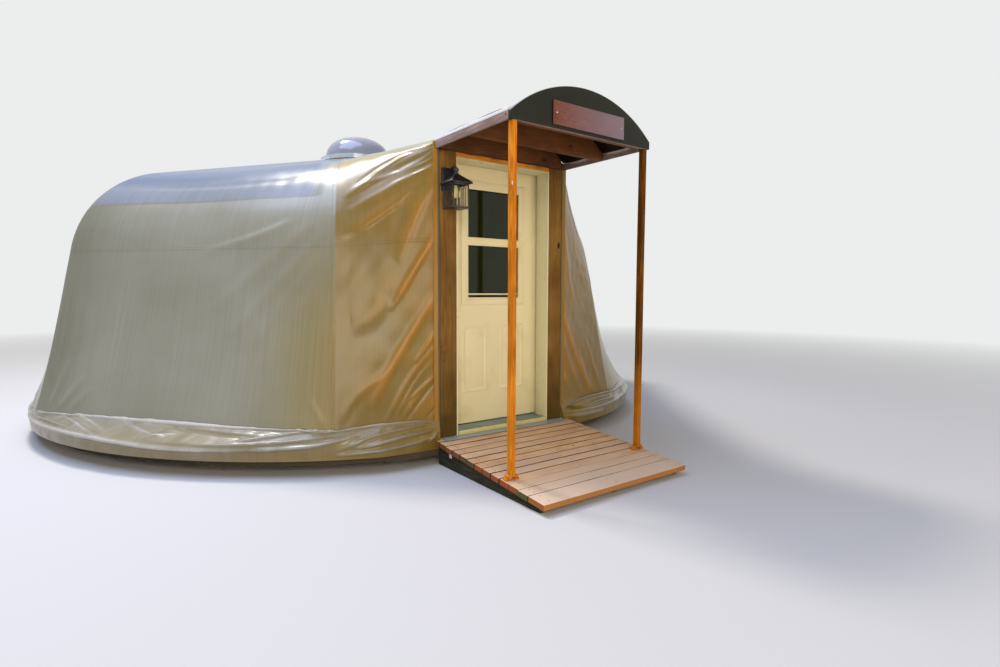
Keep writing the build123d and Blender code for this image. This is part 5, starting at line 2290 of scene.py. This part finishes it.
    def build(self) -> None:
        """Makes the whole lantern."""
        body = join([self.roof(), *self.cage(), *self.mount()])
        finish_piece(body, "lantern_iron", BLACK_IRON)
        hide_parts("lantern_body")
        self.bulb()
        self.panes()


@dataclass(frozen=True)
class Studio:
    """The pale floor, soft lights and the camera at the photograph's angle."""

    focal_mm: float = 20.435
    sensor_mm: float = 36.0
    eye: Triple = (-2.6795, -6.5408, 1.2697)
    yaw: float = math.radians(36.1155)
    pitch: float = math.radians(4.2364)
    roll: float = math.radians(0.1821)
    backdrop: str = "#eceded"

    def camera(self) -> None:
        """Sets up the camera from its heading, pitch and roll."""
        data = bpy.data.cameras.new("camera")
        data.lens = self.focal_mm
        data.sensor_width = self.sensor_mm
        data.clip_end = 200
        obj = bpy.data.objects.new("camera", data)
        turn = Matrix.Rotation(-self.yaw, 4, "Z") @ Matrix.Rotation(math.pi / 2 - self.pitch, 4, "X")
        obj.matrix_world = Matrix.Translation(self.eye) @ turn @ Matrix.Rotation(self.roll, 4, "Z")
        bpy.context.scene.collection.objects.link(obj)
        bpy.context.scene.camera = obj

    def lamp(
        self, name: str, place: Triple, aim: Triple, size: float, power: float, tint: str, spread: float = 180
    ) -> None:
        """One large soft lamp, aimed at a point.

        Args:
            name: The lamp's name.
            place: Where it hangs.
            aim: What it points at.
            size: Width of its square.
            power: Its power in watts.
            tint: Its colour.
            spread: Angle of its beam in degrees.
        """
        data = bpy.data.lights.new(name, "AREA")
        data.size = size
        data.energy = power
        data.color = linear(tint)[:3]
        data.spread = math.radians(spread)
        obj = bpy.data.objects.new(name, data)
        obj.location = place
        obj.rotation_euler = (Vector(aim) - Vector(place)).to_track_quat("-Z", "Y").to_euler()
        bpy.context.scene.collection.objects.link(obj)

    def lights(self) -> None:
        """A high key light from right behind, a cool overhead light and a soft fill."""
        middle = (0, -0.5, 1.2)
        self.lamp("key", (-2.9, 4.1, 12.6), middle, 2.4, 1400, "#fff6ea")
        self.lamp("overhead", (-3.5, -1.5, 9.0), (-1.0, -1.0, 0.0), 7.0, 900, "#bdd0ff")
        self.lamp("fill", (-5.0, -12.0, 4.0), middle, 5.0, 600, "#fff0da")
        self.lamp("bounce", (1.5, -7.5, 0.9), (0.0, -3.2, 2.0), 1.4, 9, "#ffdcb0", 70)

    def seen(self, add: Add) -> Socket:
        """1 for what the camera sees, also in gloss and through glass, and 0 for soft light.

        Args:
            add: Adds nodes to the material.

        Returns:
            The share, for a material or the world.
        """
        share: object = 0.0
        for ray in ("Is Camera Ray", "Is Glossy Ray", "Is Transmission Ray"):
            share = add("Math", share, add("LightPath", out=ray), operation="MAXIMUM")
        return share

    def world(self) -> None:
        """Even light all round, and a near-white backdrop for what the camera, gloss and glass see."""
        world = bpy.data.worlds.new("studio")
        bpy.context.scene.world = world
        world.use_nodes = True
        tree = world.node_tree
        tree.nodes.clear()
        add = partial(add_node, tree)
        soft = add("Background", linear("#d8dde6"), 0.45)
        pale = add("Background", linear(self.backdrop), 1.0)
        both = add("MixShader", self.seen(add), soft, pale)
        feed(tree, tree.nodes.new("ShaderNodeOutputWorld"), {"Surface": both})

    def floor(self) -> None:
        """A wide pale floor at ground level that melts into the backdrop far from the object."""
        deselect_all()
        bpy.ops.mesh.primitive_circle_add(vertices=64, radius=60, fill_type="NGON", location=(0, 0, 0))
        obj = bpy.context.object
        obj.name = "studio_floor"
        made = bpy.data.materials.new("studio_floor")
        made.use_nodes = True
        tree = made.node_tree
        add = partial(add_node, tree)
        shader = tree.nodes["Principled BSDF"]
        feed(tree, shader, {"Base Color": linear("#bfbdb9"), "Roughness": 0.9})
        away = add("VectorMath", add("TexCoord", out="Object"), out="Value", operation="LENGTH")
        far = add("MapRange", away, 5.5, 16.0)
        share = add("Math", far, self.seen(add), operation="MULTIPLY")
        both = add("MixShader", share, shader.outputs[0], add("Emission", linear(self.backdrop), 1.0))
        feed(tree, tree.nodes["Material Output"], {"Surface": both})
        obj.data.materials.append(made)

    def build(self) -> None:
        """Sets the whole studio."""
        bpy.context.scene.view_settings.view_transform = "Standard"
        self.camera()
        self.lights()
        self.world()
        self.floor()


PLAIN_NODES = {
    "footing_blocks": CONCRETE,
    "floor_joists": JOIST_TIMBER,
    "rim_joist": JOIST_TIMBER,
    "floor_panel": FLOOR_PLY,
    "crown_ring": RIB_TIMBER,
    "skylight_curb": RIB_TIMBER,
    "skylight_flange": CLEAR_ACRYLIC,
    "skylight_dome": SMOKED_ACRYLIC,
    "hinge_frame_leaves": BRASS,
    "hinge_door_leaves": BRASS,
}
BAYS = {
    number * side.value: f"{where}_{side.name.lower()}"
    for number, where in enumerate(("front", "side", "back"), 1)
    for side in Side
}


def main() -> None:
    """Builds every piece in order."""
    logging.basicConfig(level=logging.INFO, format="%(message)s")
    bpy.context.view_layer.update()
    Studio().build()
    for node, finish in PLAIN_NODES.items():
        dress_node(node, finish)
    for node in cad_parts:
        if node.startswith("rib_"):
            dress_node(node, RIB_TIMBER)
    for number, where in BAYS.items():
        folds = FRONT_LEFT_FOLDS if number == -1 else loose_pulls(number + 20)
        columns, rows = (84, 170) if abs(number) == 1 else (64, 120)
        bay = BaySheet(f"cover_{where}", number, folds, columns, rows)
        bay.build((f"wall_cover_{where}", f"roof_cover_{where}"))
    feet = DoorBay().build()
    for side in Side:
        Skirt(side).build(feet[side])
    Doorway().build()
    DoorLeaf().build()
    EdgeTrim().build()
    Awning().build()
    Deck().build()
    Lantern().build()


if __name__ == "__main__":
    main()
